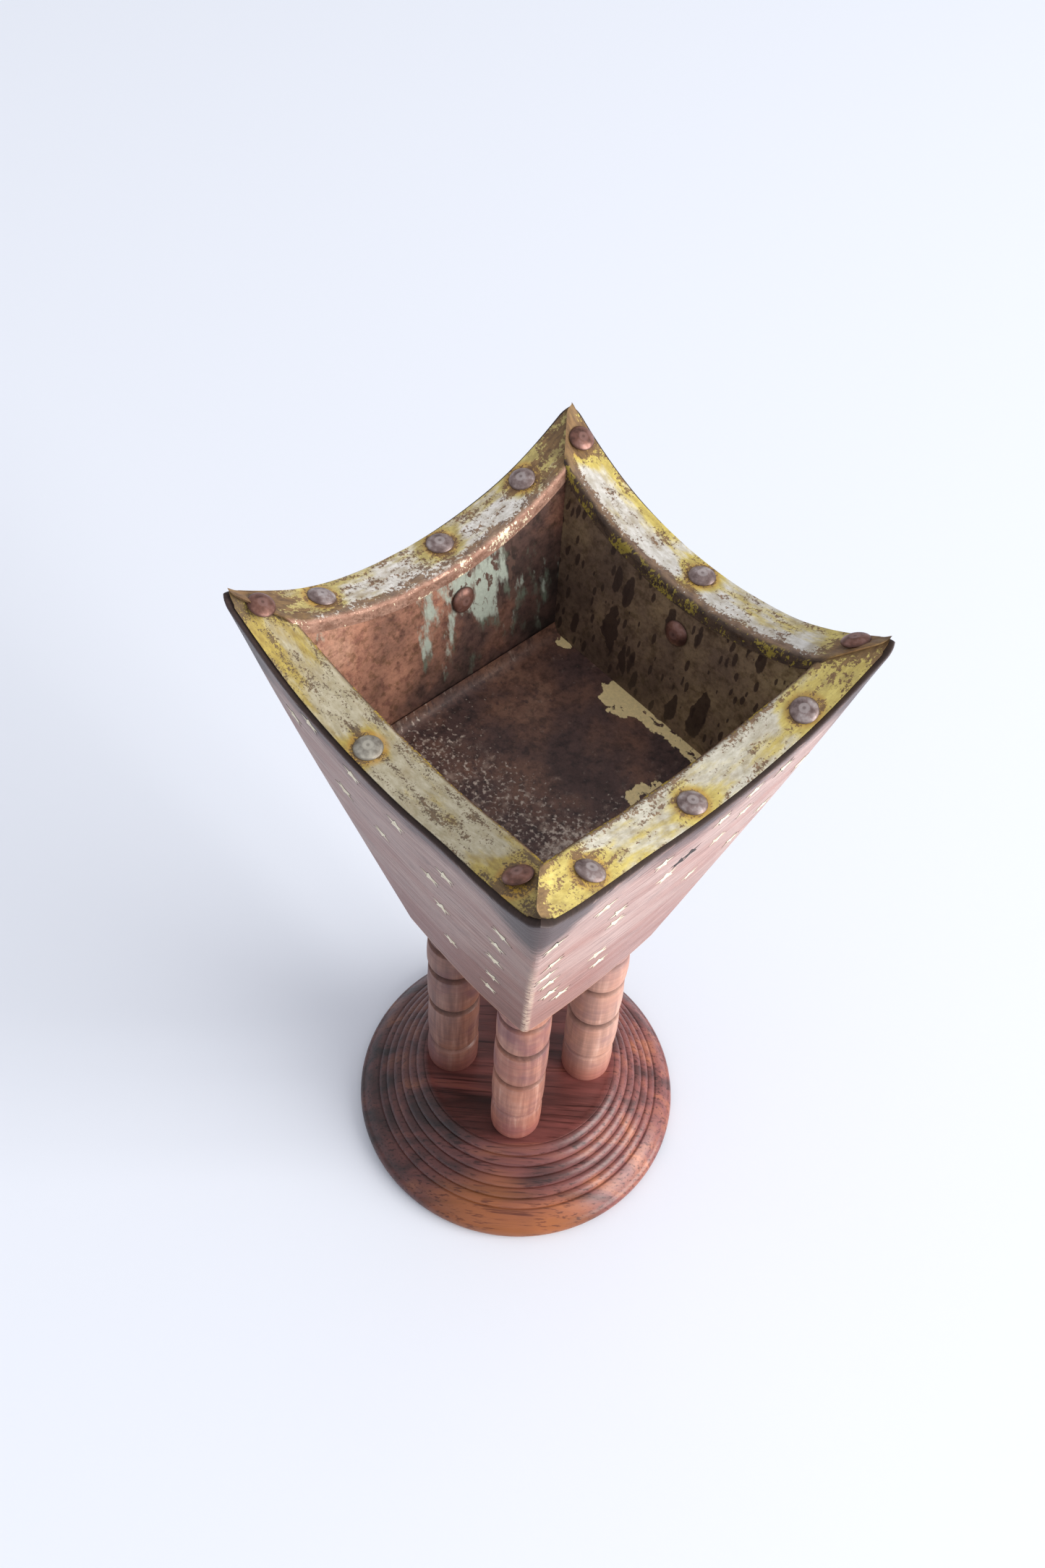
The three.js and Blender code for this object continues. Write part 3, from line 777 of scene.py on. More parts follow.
def buildTacks(iron, rustyIron, brightIron):
    top = strip["under"] + cup["tin"]
    for side, name in enumerate(sideNames):
        for index, place in enumerate(tackPlaces[name]):
            sine = place / arcRadius
            cosine = math.sqrt(1 - sine ** 2)
            reach = arcRadius - top
            n = outerFace(place, rimZ(place)) - tackInset
            foot = turnSide(np.array([n, reach * sine, arcCentreZ - reach * cosine]), side)
            axis = turnSide(np.array([0, -sine, cosine]), side)
            material = brightIron if name == "front" else iron
            tackName = "rim_tack_" + name + "_" + str(index + 1)
            placeTack(tackName, foot, axis, material, 100 + 10 * side + index)
        z = peakZ - wallTackDrop
        axis = np.array([-1, 0, slope]) / math.hypot(1, slope)
        foot = np.array([outerHalf(z) - liningInset, wallTackPlace, z]) + axis * 0.3
        placeTack("wall_tack_" + name, turnSide(foot, side), turnSide(axis, side), rustyIron, 200 + side)
    for seed, (name, (side, place, inset)) in enumerate(cornerTacks.items()):
        sine = place / arcRadius
        foot = np.array([outerFace(place, rimZ(place)) - inset, 0, 0])
        axis = np.array([0, -sine, math.sqrt(1 - sine ** 2)])
        if name == "front_left":  # on the mitre, leaning toward the axis from both strips
            axis = np.array([-sine, -sine, 2 * axis[2]]) / math.sqrt(2 * sine ** 2 + 4 * axis[2] ** 2)
            foot = np.array([place, 0, 0])
        foot = foot + np.array([0, place, rimZ(place)]) + axis * (top + 0.3)
        placeTack("corner_tack_" + name, turnSide(foot, side), turnSide(axis, side), rustyIron, 220 + seed)


# Polished rosewood: dark oily heartwood with black figure and orange sapwood streaks, so it looks deep and
# glossy on each bead, with painted shade as soft dark lines in the turned grooves and painted light to the
# right.
def rosewoodTurned():
    material, tree = newMaterial("rosewood_turned_and_oiled")
    place = objectPlace(tree)
    groove = addNode(tree, "Attribute", None, {"attribute_name": "groove"}, "Fac")
    # the grain runs along the diagonal of X and Y: figure 62 mm long and 9 mm wide
    along = addNode(tree, "Mapping", {"Vector": place, "Rotation": (0, 0, -math.pi / 4)})
    figure = lumps(tree, along, (62, 9, 9), 4, 0.55, 0.6)
    colour = addNode(tree, "ValToRGB", {0: figure}, stops=[
        (0.32, "#2E1918"), (0.43, "#4E2B28"), (0.53, "#683A36"), (0.64, "#7A4838"), (0.78, "#9C6042"),
    ])
    pores = lumps(tree, along, (30, 0.7, 0.7), 3, 0.6)
    streak = addNode(tree, "MapRange", {0: pores, 1: 0.52, 2: 0.68}, smooth)
    oily = addNode(tree, "Mix", {0: streak, 6: colour, 7: "#9C7C74"}, multiplied)
    # paler, more orange wood toward the front edge, past a wandering line
    sideways = addNode(tree, "SeparateXYZ", {0: along})
    lump = lumps(tree, along, 26, 2)
    edgePlace = addNode(tree, "Math", {0: lump, 1: 26.0, 2: sideways.node.outputs["Y"]}, multiplyAdd)
    front = addNode(tree, "MapRange", {0: edgePlace, 1: -20.0, 2: -33.0}, smooth)
    farOff = addNode(tree, "Math", {0: sideways}, {"operation": "ABSOLUTE"})
    middle = addNode(tree, "MapRange", {0: farOff, 1: 34.0, 2: 12.0, 4: 0.6}, smooth)
    warm = addNode(tree, "Mix", {0: streak, 6: "#A4612F", 7: "#71391F"}, colourMix)
    sap = addNode(tree, "Math", {0: front, 1: middle}, {"operation": "MULTIPLY"})
    body = addNode(tree, "Mix", {0: sap, 6: oily, 7: warm}, colourMix)
    # painted light: darker to the left and paler to the right, where the light falls; and paler on the
    # plateau between the legs
    paintedSideLight = addNode(tree, "MapRange", {0: sideways, 1: -45.0, 2: 45.0, 3: 0.56, 4: 1.55})
    level = addNode(tree, "Mapping", {"Vector": place, "Scale": (1, 1, 0)})
    radius = addNode(tree, "VectorMath", {0: level}, {"operation": "LENGTH"})
    plateau = addNode(tree, "MapRange", {0: radius, 1: 30.0, 2: 27.5, 3: 1.0, 4: 1.32}, smooth)
    light = addNode(tree, "Math", {0: paintedSideLight, 1: plateau}, {"operation": "MULTIPLY"})
    shaded = addNode(tree, "Mix", {0: 1.0, 6: body, 7: light}, multiplied)
    # painted shade in the turned grooves
    grooveShade = addNode(tree, "Math", {0: groove, 1: 0.35}, {"operation": "MULTIPLY"})
    final = addNode(tree, "Mix", {0: grooveShade, 6: shaded, 7: "#1A0D0C"}, colourMix)
    shader = finish(tree, final, (pores, 0.30, 0.44), pores, 0.08, 0.6)
    shader.inputs["Specular IOR Level"].default_value = 0.4
    shader.inputs["Coat Weight"].default_value = 0.12
    shader.inputs["Coat Roughness"].default_value = 0.22
    return material


# Turned and stained softwood: orange-brown, with purple-brown patches and fine lathe rings, painted shade in
# the grooves, and each leg painted lighter or darker by how the light falls on it.
def legWoodTurned():
    material, tree = newMaterial("stained_leg_wood_turned")
    place = objectPlace(tree)
    # tone is painted light: each leg painted lighter or darker by how the light falls on it
    tone = addNode(tree, "Attribute", None, {"attribute_name": "tone"}, "Fac")
    lines = lumps(tree, place, (1.6, 1.6, 26), 4, 0.6)
    colour = addNode(tree, "ValToRGB", {0: lines}, stops=[
        (0.28, "#7A4E42"), (0.45, "#926252"), (0.58, "#A67462"), (0.75, "#BE9482"),
    ])
    blot = lumps(tree, place, 13, 3, 0.6)
    colour = coat(tree, colour, "#74464A", blot, 0.42, 0.66, 0.75)
    warmth = lumps(tree, place, (11, 11, 13.75), 2, shift=(200 / 11, 100 / 11, 300 / 11))
    colour = coat(tree, colour, "#AE6E50", warmth, 0.46, 0.66, 0.4)
    colour = coat(tree, colour, "#B09A8C", tone, 1.0, 1.4, 0.32)  # painted light: the leg in the light is painted paler
    height = addNode(tree, "SeparateXYZ", {0: place}, output="Z")
    colour = coat(tree, colour, "#87483E", height, 40.0, 23.5, 0.7)  # redder and darker toward the foot
    rings = lumps(tree, place, (40, 40, 0.8), 2)
    ringLight = addNode(tree, "MapRange", {0: rings, 1: 0.3, 2: 0.7, 3: 0.88, 4: 1.10})
    light = addNode(tree, "Math", {0: ringLight, 1: tone}, {"operation": "MULTIPLY"})
    ringed = addNode(tree, "Mix", {0: 1.0, 6: colour, 7: light}, multiplied)
    # painted shade in the grooves
    groove = addNode(tree, "Attribute", None, {"attribute_name": "groove"}, "Fac")
    grooveShade = addNode(tree, "Math", {0: groove, 1: 0.8}, {"operation": "MULTIPLY"})
    final = addNode(tree, "Mix", {0: grooveShade, 6: ringed, 7: "#2E1816"}, colourMix)
    finish(tree, final, (blot, 0.42, 0.58), rings, 0.12, 0.6)
    return material


# Planed panel wood, waxed and handled: dull mauve pink with fine level grain, smoked dark near the rim, black
# on the rim's edge from burning and painted shade, and rubbed pale along the lower arrises; painted shade
# greys the left and front sides, and a painted highlight runs along the bottom edge.
def panelWoodPlaned():
    material, tree = newMaterial("panel_wood_planed_and_smoked")
    place = addNode(tree, "Attribute", None, {"attribute_name": "place"}, "Vector")
    rimGap = addNode(tree, "Attribute", None, {"attribute_name": "rimGap"}, "Fac")
    cornerGap = addNode(tree, "Attribute", None, {"attribute_name": "cornerGap"}, "Fac")
    across = addNode(tree, "SeparateXYZ", {0: place})
    height = across.node.outputs["Y"]
    lines = lumps(tree, place, (26, 0.6, 0), 4, 0.62, 0.3)
    colour = addNode(tree, "ValToRGB", {0: lines}, stops=[
        (0.28, "#85645F"), (0.42, "#A08078"), (0.54, "#B7988F"), (0.70, "#CEB6AD"),
    ])
    cloud = lumps(tree, place, (34, 13, 20), 3)
    colour = coat(tree, colour, "#9A5C4C", cloud, 0.42, 0.68, 0.45)
    # dark fibres: wavy streaks about 8 mm long
    fibres = lumps(tree, place, (7, 0.55, 0), 5, 0.7, 0.8, turn=0.05)
    colour = coat(tree, colour, "#563E3C", fibres, 0.50, 0.64, 0.62)
    # painted shade: greyer and darker on the left and front sides, the last two of the four, which face away
    # from the light; and redder near the bottom
    shadedSidesFrom = 1.5 * grainShift["panel"]
    colour = coat(tree, colour, "#EAE7E3", across, shadedSidesFrom - 5, shadedSidesFrom + 5, 1.0, multiplied)
    colour = coat(tree, colour, "#E0C8C4", height, 62.0, 8.0, 1.0, multiplied)
    # smoke: within about 9 mm of the rim, uneven, and farther down below a peak
    peak = addNode(tree, "MapRange", {0: cornerGap, 1: 16.0, 2: 1.0, 3: 6.5, 4: -9.0}, smooth)
    gap = addNode(tree, "Math", {0: rimGap, 1: peak}, {"operation": "ADD"})
    soot = addNode(tree, "Math", {0: cloud, 1: -13.0, 2: gap}, multiplyAdd)
    grainy = addNode(tree, "Math", {0: fibres, 1: -34.0, 2: soot}, multiplyAdd)
    smoked = coat(tree, colour, "#2C2226", grainy, -5.0, -20.0, 0.9)
    # the rim's top edge: burnt wood, and painted shade where the strips overhang it
    burntAndShaded = addNode(tree, "Mix", {0: fibres, 6: "#100A09", 7: "#4A3832"}, colourMix)
    edge = addNode(tree, "MapRange", {0: rimGap, 1: 0.6, 2: 0.1}, smooth)
    black = addNode(tree, "Mix", {0: edge, 6: smoked, 7: burntAndShaded}, colourMix)
    # rubbed arris: a comb of fine pale ticks within 1 mm of each corner edge, on the lower two thirds
    ticks = lumps(tree, place, (3, 0.55, 3), 2)
    tick = addNode(tree, "MapRange", {0: ticks, 1: 0.42, 2: 0.58}, smooth)
    nearEdge = addNode(tree, "MapRange", {0: cornerGap, 1: 1.9, 2: 0.5}, smooth)
    lower = addNode(tree, "MapRange", {0: height, 1: 88.0, 2: 52.0}, smooth)
    worn = joined(tree, "MULTIPLY", nearEdge, lower, tick)
    rubbed = addNode(tree, "Mix", {0: worn, 6: black, 7: "#E2C9B0"}, colourMix)
    # painted highlight: a pale tan band along the bottom edge, where the rounded edge catches the light
    final = coat(tree, rubbed, "#D3A27C", height, 1.9, 1.0, 0.75)
    sheen = addNode(tree, "MapRange", {0: lines, 1: 0.3, 2: 0.7, 3: 0.48, 4: 0.36})
    rough = addNode(tree, "Mix", {0: edge, 2: sheen, 3: 0.9}, {"data_type": "FLOAT"})
    finish(tree, final, rough, fibres, 0.14, 0.7)
    return material


# Sawn bone-coloured wood slips: matt cream with brown pores.
def starInlayWood():
    material, tree = newMaterial("star_inlay_pale_wood")
    spots = lumps(tree, objectPlace(tree), 1.1, 3)
    stops = [(0.3, "#A8967A"), (0.42, "#DDD0B2"), (0.7, "#F0E8D2")]
    finish(tree, addNode(tree, "ValToRGB", {0: spots}, stops=stops), 0.6)
    return material


# Dark hide glue and dirt round the stars, with painted shade for the gaps round them and the empty pockets of
# lost stars.
def starGlueAndGapShade():
    material, tree = newMaterial("dark_glue_and_gap_shade")
    spots = lumps(tree, objectPlace(tree), 0.8, 2)
    finish(tree, addNode(tree, "ValToRGB", {0: spots}, stops=[(0.35, "#120C0C"), (0.7, "#3A2A26")]), 0.7)
    return material


# Printed tin, worn: yellow lacquer left round the tacks and corners, bare cream-grey tin between, brown rust
# specks and a rusty fold, so it looks like old sheet metal that is glossy only where the lacquer holds.
def paintedTin(name, look, side):
    material, tree = newMaterial("painted_tin_worn_" + name)
    place = addNode(tree, "Attribute", None, {"attribute_name": "place"}, "Vector")
    past, tackGap, cornerGap, seamGap = [
        addNode(tree, "Attribute", None, {"attribute_name": layer}, "Fac")
        for layer in ("past", "tackGap", "cornerGap", "seamGap")
    ]
    # yellow lacquer: a slow noise raised near tacks and corners, and toward the outer edge
    cloud = lumps(tree, place, (12, 5, 5), 5, 0.62)
    halo = addNode(tree, "MapRange", {0: tackGap, 1: 7.5, 2: 3.4, 4: 0.26}, smooth)
    corner = addNode(tree, "MapRange", {0: cornerGap, 1: look["cornerReach"], 2: 6.0, 4: 0.34}, smooth)
    outer = addNode(tree, "MapRange", {0: past, 1: -2.0, 2: -7.5, 4: look["outer"]}, smooth)
    paint = joined(tree, "ADD", halo, corner, outer, cloud)
    flecks = lumps(tree, place, (2.4, 1.3, 1.3), 5, 0.68)
    spread = addNode(tree, "MapRange", {0: flecks, 1: 0.35, 2: 0.65})
    bare, lacquer, rust, lipTone = [
        addNode(tree, "Mix", {0: spread, 6: look[tone + "Deep"], 7: look[tone]}, colourMix)
        for tone in ("pale", "yellow", "rust", "lip")
    ]
    coated = coat(tree, bare, lacquer, paint, look["yellowFrom"], look["yellowFrom"] + 0.26, 0.92)
    haloed = coat(tree, coated, "#B8862E", tackGap, 4.9, 3.4, 0.6)
    # grime: broad brown stains 3 to 8 mm across, on top of both coats
    stain = lumps(tree, place, 5.0, 5, 0.65)
    soiled = coat(tree, haloed, "#8A744A", stain, 0.45, 0.72, look["grime"])
    # rust specks: dashes about 1 mm long, thicker where the slow noise is high and at fold, tacks, seam, ends
    long, wide = look["dash"]
    dashes = lumps(tree, place, (long, wide, wide), 4, 0.72)
    patch = lumps(tree, place, (6, 3.5, 3.5), 3, shift=(7, 3, 1))
    specks = addNode(tree, "Math", {0: patch, 1: 0.85, 2: dashes}, multiplyAdd)
    along = addNode(tree, "SeparateXYZ", {0: place})
    low, high = look["endRust"]
    middle = grainShift["strip"] * side
    ends = addNode(tree, "MapRange", {0: along, 1: middle - 5, 2: middle + 5, 3: low, 4: high})
    nearEnd = addNode(tree, "MapRange", {0: cornerGap, 1: 17.0, 2: 4.0}, smooth)
    endRust = addNode(tree, "Math", {0: ends, 1: nearEnd}, {"operation": "MULTIPLY"})
    foldRust = addNode(tree, "MapRange", {0: past, 1: -1.8, 2: 0.3, 4: look["foldRust"]}, smooth)
    tackRust = addNode(tree, "MapRange", {0: tackGap, 1: 4.4, 2: 3.2, 4: 0.12}, smooth)
    seamRust = addNode(tree, "MapRange", {0: seamGap, 1: 2.0, 2: 0.2, 4: 0.14}, smooth)
    rusting = joined(tree, "ADD", specks, seamRust, endRust, foldRust, tackRust)
    rustFrom = look["rustFrom"]
    rustShare = addNode(tree, "MapRange", {0: rusting, 1: rustFrom, 2: rustFrom + 0.06, 4: 0.9}, smooth)
    rusted = addNode(tree, "Mix", {0: rustShare, 6: soiled, 7: rust}, colourMix)
    # the lip below the fold: its own tone, a dark fold line, and flecks that are scraps of lacquer, on the
    # left strip painted glints
    lip = addNode(tree, "MapRange", {0: past, 1: 0.2, 2: 1.2}, smooth)
    lipSpark = coat(tree, lipTone, look["spark"], specks, look["sparkFrom"], look["sparkFrom"] + 0.04)
    final = addNode(tree, "Mix", {0: lip, 6: rusted, 7: lipSpark}, colourMix)
    rough = addNode(tree, "Mix", {0: rustShare, 2: 0.36, 3: 0.68}, {"data_type": "FLOAT"})
    metal = addNode(tree, "Math", {0: lip, 1: look["lipMetal"]}, {"operation": "MULTIPLY"})
    height = addNode(tree, "Math", {0: rustShare, 1: -0.5, 2: cloud}, multiplyAdd)
    finish(tree, final, rough, height, 0.10, 0.7, metal)
    return material


plainStrip = {
    "yellow": "#D8C45C", "yellowDeep": "#B29A42", "pale": "#E0DAC9", "paleDeep": "#BFB8A3",
    "rust": "#84623F", "rustDeep": "#553A2B", "grime": 0.55, "dash": (0.7, 1.0),
    "cornerReach": 26.0, "outer": 0.14, "yellowFrom": 0.52, "rustFrom": 1.0, "foldRust": 0.12,
    "endRust": (0.1, 0.1),  # at the strip's low and high end
    "lip": "#7A5A44", "lipDeep": "#4A3428", "lipMetal": 0.2, "spark": "#B89C34", "sparkFrom": 1.0,
}
stripLooks = {
    "right": plainStrip | {
        "yellow": "#E0CC6C", "yellowDeep": "#C0A850", "rust": "#8E6C4A", "rustDeep": "#614636", "outer": 0.18,
        "rustFrom": 1.02, "endRust": (0.05, 0.16),
    },
    "back": plainStrip | {
        "pale": "#DEDAD3", "paleDeep": "#BDB7AB", "cornerReach": 18.0, "outer": 0.26, "yellowFrom": 0.56,
        "rustFrom": 1.0, "endRust": (0.28, 0.26), "foldRust": 0.26,
        "lip": "#5A4636", "lipDeep": "#33251E", "spark": "#9A8838", "sparkFrom": 1.01,
    },
    "left": plainStrip | {
        "yellow": "#C6B460", "yellowDeep": "#9C8846", "pale": "#E6E2DC", "paleDeep": "#C2BCB2", "outer": 0.12,
        "yellowFrom": 0.51, "rustFrom": 0.95, "cornerReach": 22.0, "endRust": (0.10, 0.40), "foldRust": 0.16,
        # painted glints: the left lip's pale flecks stand for speckled highlights on its shiny fold
        "grime": 0.7, "lip": "#B08A78", "lipDeep": "#86604E", "lipMetal": 0.5, "spark": "#EFE2C4",
        "sparkFrom": 1.05,
    },
    "front": plainStrip | {
        "yellow": "#B49E46", "yellowDeep": "#8E7634", "pale": "#B9B098", "paleDeep": "#9A8F72", "outer": 0.04,
        "yellowFrom": 0.56, "cornerReach": 30.0, "endRust": (0.10, 0.12), "foldRust": 0.04, "grime": 0.4,
        "dash": (0.5, 0.6), "rust": "#6E5638", "rustDeep": "#45342A",
    },
}


# Rusted tin, oiled by smoke, left as rolled: copper-brown rust with scraps of old paint and dark pits, so the
# walls look soft and mottled with hard-edged flecks. Each wall's settings are in one dictionary.
def rustedTin(name, look):
    material, tree = newMaterial("rusted_tin_smoked_" + name)
    place = addNode(tree, "Attribute", None, {"attribute_name": "place"}, "Vector")
    across = addNode(tree, "SeparateXYZ", {0: place})
    up = across.node.outputs["Y"]
    cloud = lumps(tree, place, (16, 18, 0), 6, 0.55)
    sideways, upward = look["sideways"], look["upward"]
    tilt = addNode(tree, "MapRange", {0: across, 1: -30.0, 2: 30.0, 3: -sideways, 4: sideways})
    lift = addNode(tree, "MapRange", {0: up, 1: 0.0, 2: 40.0, 3: -upward, 4: upward})
    tone = joined(tree, "ADD", cloud, tilt, lift)
    body = addNode(tree, "ValToRGB", {0: tone}, stops=look["body"])
    grit = lumps(tree, place, 0.8, 4, 0.7)
    shade = addNode(tree, "MapRange", {0: grit, 1: 0.3, 2: 0.7, 3: 0.80, 4: 1.16})
    colour = addNode(tree, "Mix", {0: 1.0, 6: body, 7: shade}, multiplied)
    # mottling: mauve and olive freckles 1 to 2 mm across
    freckle = lumps(tree, place, 2.2, 5, 0.7).node.outputs["Color"]
    parts = addNode(tree, "SeparateColor", {0: freckle}).node.outputs
    for index, tint in enumerate(look["tints"]):
        colour = coat(tree, colour, tint, parts[index], 0.47, 0.66, 0.6, multiplied)
    # scraps of paint: a noise cut off, raised round given places (centre, reach, gain)
    for colourOf, size, cut, soft, places in look["paint"]:
        value = lumps(tree, place, (*size, 0), 6, 0.6)
        for x, y, reachX, reachY, gain in places:
            given = {"Vector": place, "Location": (x, y, 0), "Scale": (reachX, reachY, 10000)}
            off = addNode(tree, "Mapping", given, {"vector_type": "TEXTURE"})
            away = addNode(tree, "VectorMath", {0: off}, {"operation": "LENGTH"})
            near = addNode(tree, "MapRange", {0: away, 1: 1.25, 2: 0.5, 4: gain}, smooth)
            value = addNode(tree, "Math", {0: value, 1: near}, {"operation": "ADD"})
        paint = addNode(tree, "Mix", {0: 0.7, 6: colourOf, 7: shade}, multiplied)
        colour = coat(tree, colour, paint, value, cut, cut + soft)
    # pits and drips: lens-shaped cells of a stretched Voronoi pattern, each with its own size
    wobble = lumps(tree, place, 3.0, 2).node.outputs["Color"]
    for colourOf, size, amount in look["spots"]:
        spotMap = addNode(tree, "Mapping", {"Vector": place, "Scale": (1 / size[0], 1 / size[1], 0.0)})
        bent = addNode(tree, "VectorMath", {0: wobble, 1: (0.35, 0.35, 0), 2: spotMap}, multiplyAdd)
        cells = addNode(tree, "TexVoronoi", {"Vector": bent, "Scale": 1.0}, {"voronoi_dimensions": "2D"})
        pick = addNode(tree, "SeparateColor", {0: cells.node.outputs["Color"]})
        room = addNode(tree, "MapRange", {0: pick, 1: 1.0 - amount, 2: 1.0, 4: 0.42})
        inside = addNode(tree, "Math", {0: room, 1: cells}, {"operation": "SUBTRACT"})
        colour = coat(tree, colour, colourOf, inside, 0.0, 0.06, 0.85)
    finish(tree, colour, (tone, 0.62, 0.40), grit, 0.12, 0.6, look["metal"])
    return material


wallLooks = {
    "left": {  # orange-pink in front, mauve-brown and dark toward the back, green paint dripping by the tack
        "body": [
            (0.24, "#32241F"), (0.40, "#5A4038"), (0.54, "#8C6250"), (0.70, "#B27F68"), (0.84, "#C0917A"),
        ],
        "sideways": 0.2, "upward": 0.12, "metal": 0.15, "tints": ("#A08894", "#8E8A66"),
        "paint": [
            ("#646B5C", (4, 9), 0.64, 0.18, [(-22, 17, 14, 15, 0.15), (2, 12, 14, 12, 0.12)]),
            ("#A9B0A2", (4, 11), 0.66, 0.13, [
                (-9, 29, 9, 14, 0.24), (4, 23, 7, 16, 0.20), (-18, 19, 16, 14, 0.10),
            ]),
            ("#5A4238", (2.2, 4.0), 0.70, 0.06, [(-12, 26, 16, 16, 0.16)]),
        ],
        "spots": [],
    },
    "back": {  # olive-brown paint darkened by smoke, pitted dark brown
        "body": [(0.26, "#523F34"), (0.46, "#735E4C"), (0.64, "#8E785C"), (0.8, "#A08C68")],
        "sideways": -0.08, "upward": 0.10, "metal": 0.05, "tints": ("#A89A90", "#A8A07C"),
        "paint": [("#38271F", (9, 9), 0.72, 0.03, [
            (40, 46, 10, 6, 0.26), (-34, 38, 7, 7, 0.18), (10, 10, 14, 10, 0.10),
        ])],
        "spots": [("#2C1C17", (4.2, 11), 0.36), ("#32221B", (1.8, 4.6), 0.50), ("#2C1C17", (7.5, 19), 0.22)],
    },
    "right": {
        "body": [(0.26, "#3A2C25"), (0.44, "#634A3C"), (0.60, "#886A56"), (0.76, "#A4886C")],
        "sideways": 0.08, "upward": 0.08, "metal": 0.1, "tints": ("#A08C94", "#9A9470"),
        "paint": [("#A5A684", (5, 13), 0.70, 0.05, [(-6, 28, 14, 10, 0.16), (20, 14, 9, 9, 0.14)])],
        "spots": [("#3A241D", (4, 9), 0.30)],
    },
    "front": {
        "body": [(0.28, "#40332A"), (0.46, "#665242"), (0.62, "#857159"), (0.78, "#9C8A6A")],
        "sideways": -0.08, "upward": 0.06, "metal": 0.1, "tints": ("#A8988E", "#A09A76"),
        "paint": [("#9EA889", (5, 12), 0.70, 0.05, [(12, 26, 14, 10, 0.15), (-20, 12, 9, 9, 0.12)])],
        "spots": [("#33221C", (4, 10), 0.32), ("#3A2820", (2.2, 4.6), 0.35)],
    },
    "pan": {  # rust-brown with pale crusts toward the front, and cream paint kept along the back edge
        "body": [(0.28, "#3E2A26"), (0.44, "#553C36"), (0.58, "#74503F"), (0.76, "#8E6A54")],
        "sideways": -0.05, "upward": 0.02, "metal": 0.1, "tints": ("#8A7468", "#77666A"),
        "paint": [
            ("#A48C7C", (3.4, 3.4), 0.60, 0.26, [(4, -22, 38, 20, 0.10), (24, -2, 12, 24, 0.07)]),
            ("#C8B6A6", (1.1, 1.1), 0.665, 0.15, [
                (6, -22, 40, 20, 0.15), (25, -2, 12, 22, 0.11), (-24, -10, 9, 18, 0.05),
            ]),
            ("#4A302A", (7, 7), 0.66, 0.10, [(22, -22, 16, 16, 0.08)]),
            ("#4A302A", (2.0, 2.0), 0.60, 0.10, [(0, 0, 60, 60, 0.02)]),
            ("#EED69C", (4, 3), 0.72, 0.04, [
                (10, 28.4, 22, 3.6, 0.30), (-3, 26, 6, 5, 0.36), (-25, 28.5, 3, 2.2, 0.28),
                (21, 11, 4.5, 6, 0.30),
            ]),
        ],
        "spots": [],
    },
}


# Tack heads of rusted iron, die-struck: purple-brown and half glossy, with a painted highlight on the pressed
# ring and painted shade in the middle pit and round the edge.
def tackIron(name, deep, mid, bright):
    material, tree = newMaterial("tack_iron_struck_" + name)
    radius = addNode(tree, "Attribute", None, {"attribute_name": "headRadius"}, "Fac")
    place = addNode(tree, "Attribute", None, {"attribute_name": "place"}, "Vector")
    cloud = lumps(tree, place, 2.6, 5, 0.6)
    colour = addNode(tree, "ValToRGB", {0: cloud}, stops=[(0.34, deep), (0.52, mid), (0.72, bright)])
    # painted highlight inside the pressed ring; painted shade in the middle pit and round the head's edge
    colour = coat(tree, colour, bright, radius, 1.35, 1.0, 0.5)
    colour = coat(tree, colour, deep, radius, 0.55, 0.2, 0.6)
    colour = coat(tree, colour, deep, radius, 2.75, 3.1, 0.7)
    finish(tree, colour, (cloud, 0.50, 0.32), cloud, 0.06, 0.2, 0.5)
    return material


def paleStage():
    # A plain pale floor, far wider than the view.
    material, tree = newMaterial("pale_floor")
    finish(tree, linear("#E9EDF5"), 0.8)
    bpy.ops.mesh.primitive_plane_add(size=8, location=(0, 0, -0.0002))
    floor = bpy.context.object
    floor.name = "pale_floor"
    floor.data.materials.append(material)


buildBase(rosewoodTurned())
buildLegs(legWoodTurned())
panelWood = panelWoodPlaned()
buildPanels(panelWood)
buildBoard(panelWood)
buildStars(starInlayWood(), starGlueAndGapShade())
print("scene: base, legs, panels and stars built")

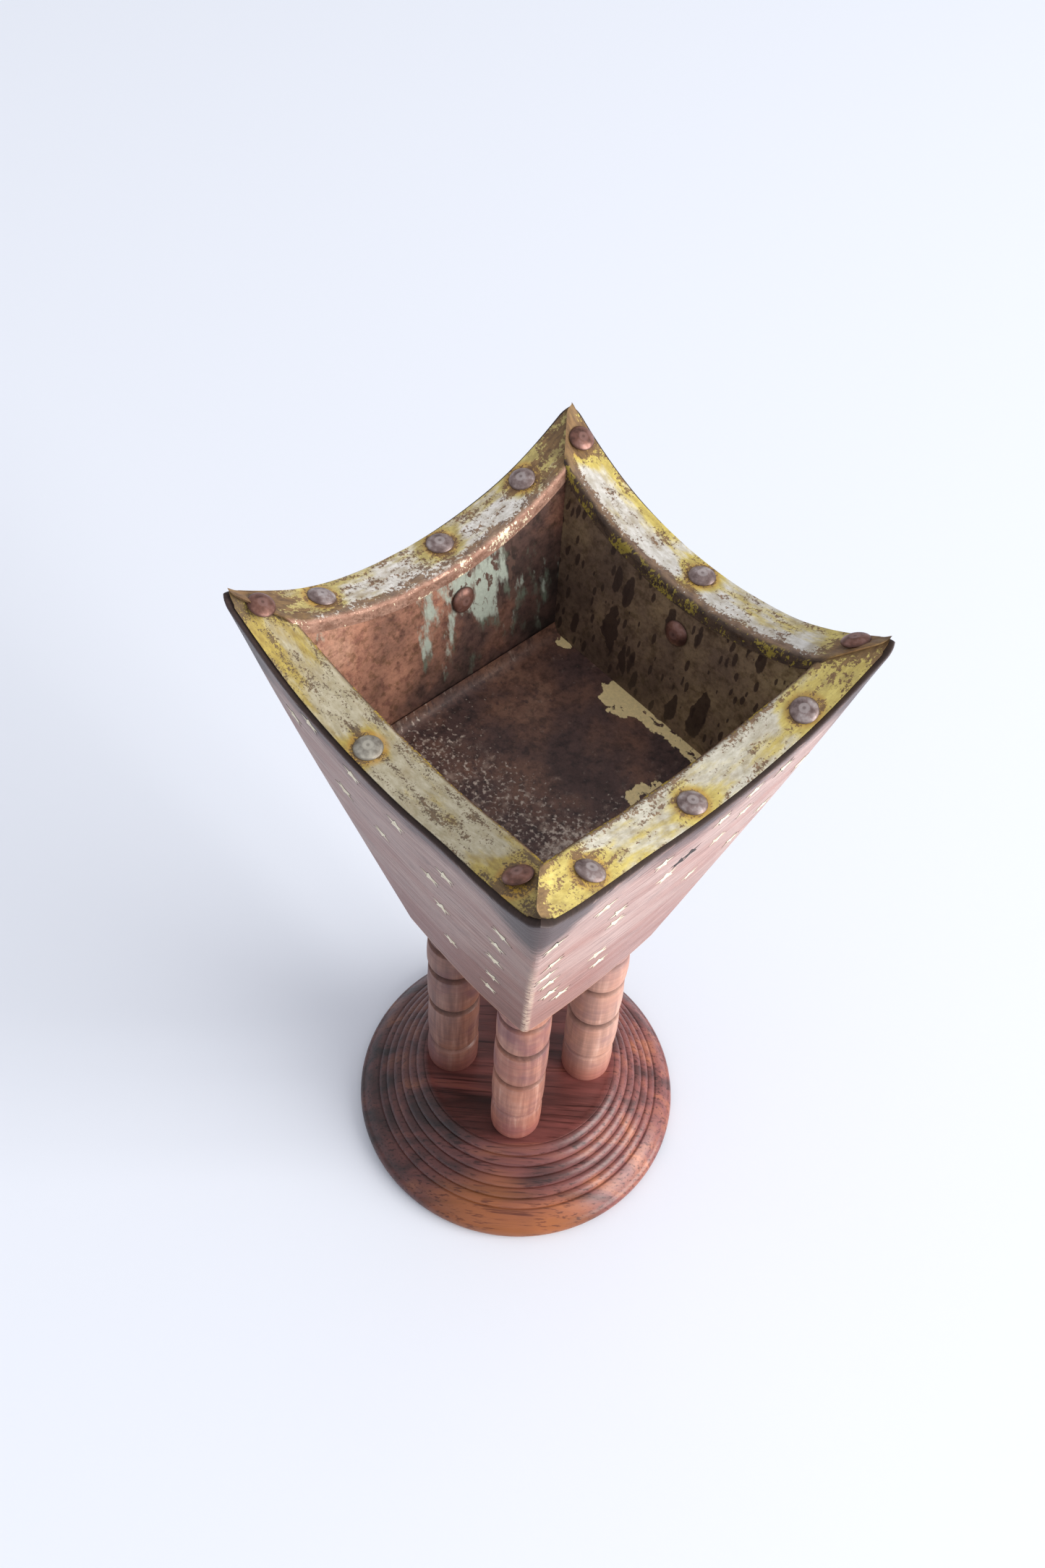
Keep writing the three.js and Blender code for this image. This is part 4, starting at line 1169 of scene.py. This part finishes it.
wallTin = [rustedTin(name + "_wall", wallLooks[name]) for name in sideNames]
buildLining(wallTin, rustedTin("pan", wallLooks["pan"]))
buildStrips([paintedTin(name, stripLooks[name], side) for side, name in enumerate(sideNames)])
buildTacks(
    tackIron("browned", "#5E4B47", "#8E7C78", "#C2B7B4"),
    tackIron("rusty", "#4C322A", "#785246", "#94726A"),
    tackIron("worn_bright", "#6A6258", "#9C968A", "#C6C0B0"),
)
print("scene: lining, strips and tacks built")

paleStage()

# Camera and light
view = {
    "target": (-0.009465, 0.002407, 0.149205),
    "distance": 0.37006,
    "elevation": 0.926,
    "azimuth": 0.7843,
    "roll": 0.0729,
    "lens": 35.0,
}
cameraData = bpy.data.cameras.new("camera")
camera = bpy.data.objects.new("camera", cameraData)
bpy.context.scene.collection.objects.link(camera)
direction = Vector((
    math.sin(view["azimuth"]) * math.cos(view["elevation"]),
    -math.cos(view["azimuth"]) * math.cos(view["elevation"]),
    math.sin(view["elevation"]),
))
camera.location = Vector(view["target"]) + direction * view["distance"]
camera.rotation_mode = "QUATERNION"
camera.rotation_quaternion = direction.to_track_quat("Z", "Y") @ Quaternion((0, 0, 1), view["roll"])
cameraData.lens = view["lens"]
cameraData.sensor_width = 36
cameraData.clip_start = 0.02
bpy.context.scene.camera = camera

light = {"key": 145.0, "keySize": 2.4, "keyPlace": (2.4, 1.14, 0.84), "sky": 0.73}
keyData = bpy.data.lights.new("key", "AREA")
keyData.shape = "SQUARE"
keyData.size = light["keySize"]
keyData.energy = light["key"]
keyData.color = (1.0, 0.985, 0.96)
key = bpy.data.objects.new("key", keyData)
bpy.context.scene.collection.objects.link(key)
key.location = Vector(light["keyPlace"])
key.rotation_mode = "QUATERNION"
key.rotation_quaternion = (Vector(light["keyPlace"]) - Vector((0, 0, 0.15))).to_track_quat("Z", "Y")
world = bpy.data.worlds.new("pale_sky")
world.use_nodes = True
world.node_tree.nodes["Background"].inputs[0].default_value = linear("#F6F8FF")
world.node_tree.nodes["Background"].inputs[1].default_value = light["sky"]
bpy.context.scene.world = world
bpy.context.scene.view_settings.view_transform = "Standard"
print("scene: camera and light set")
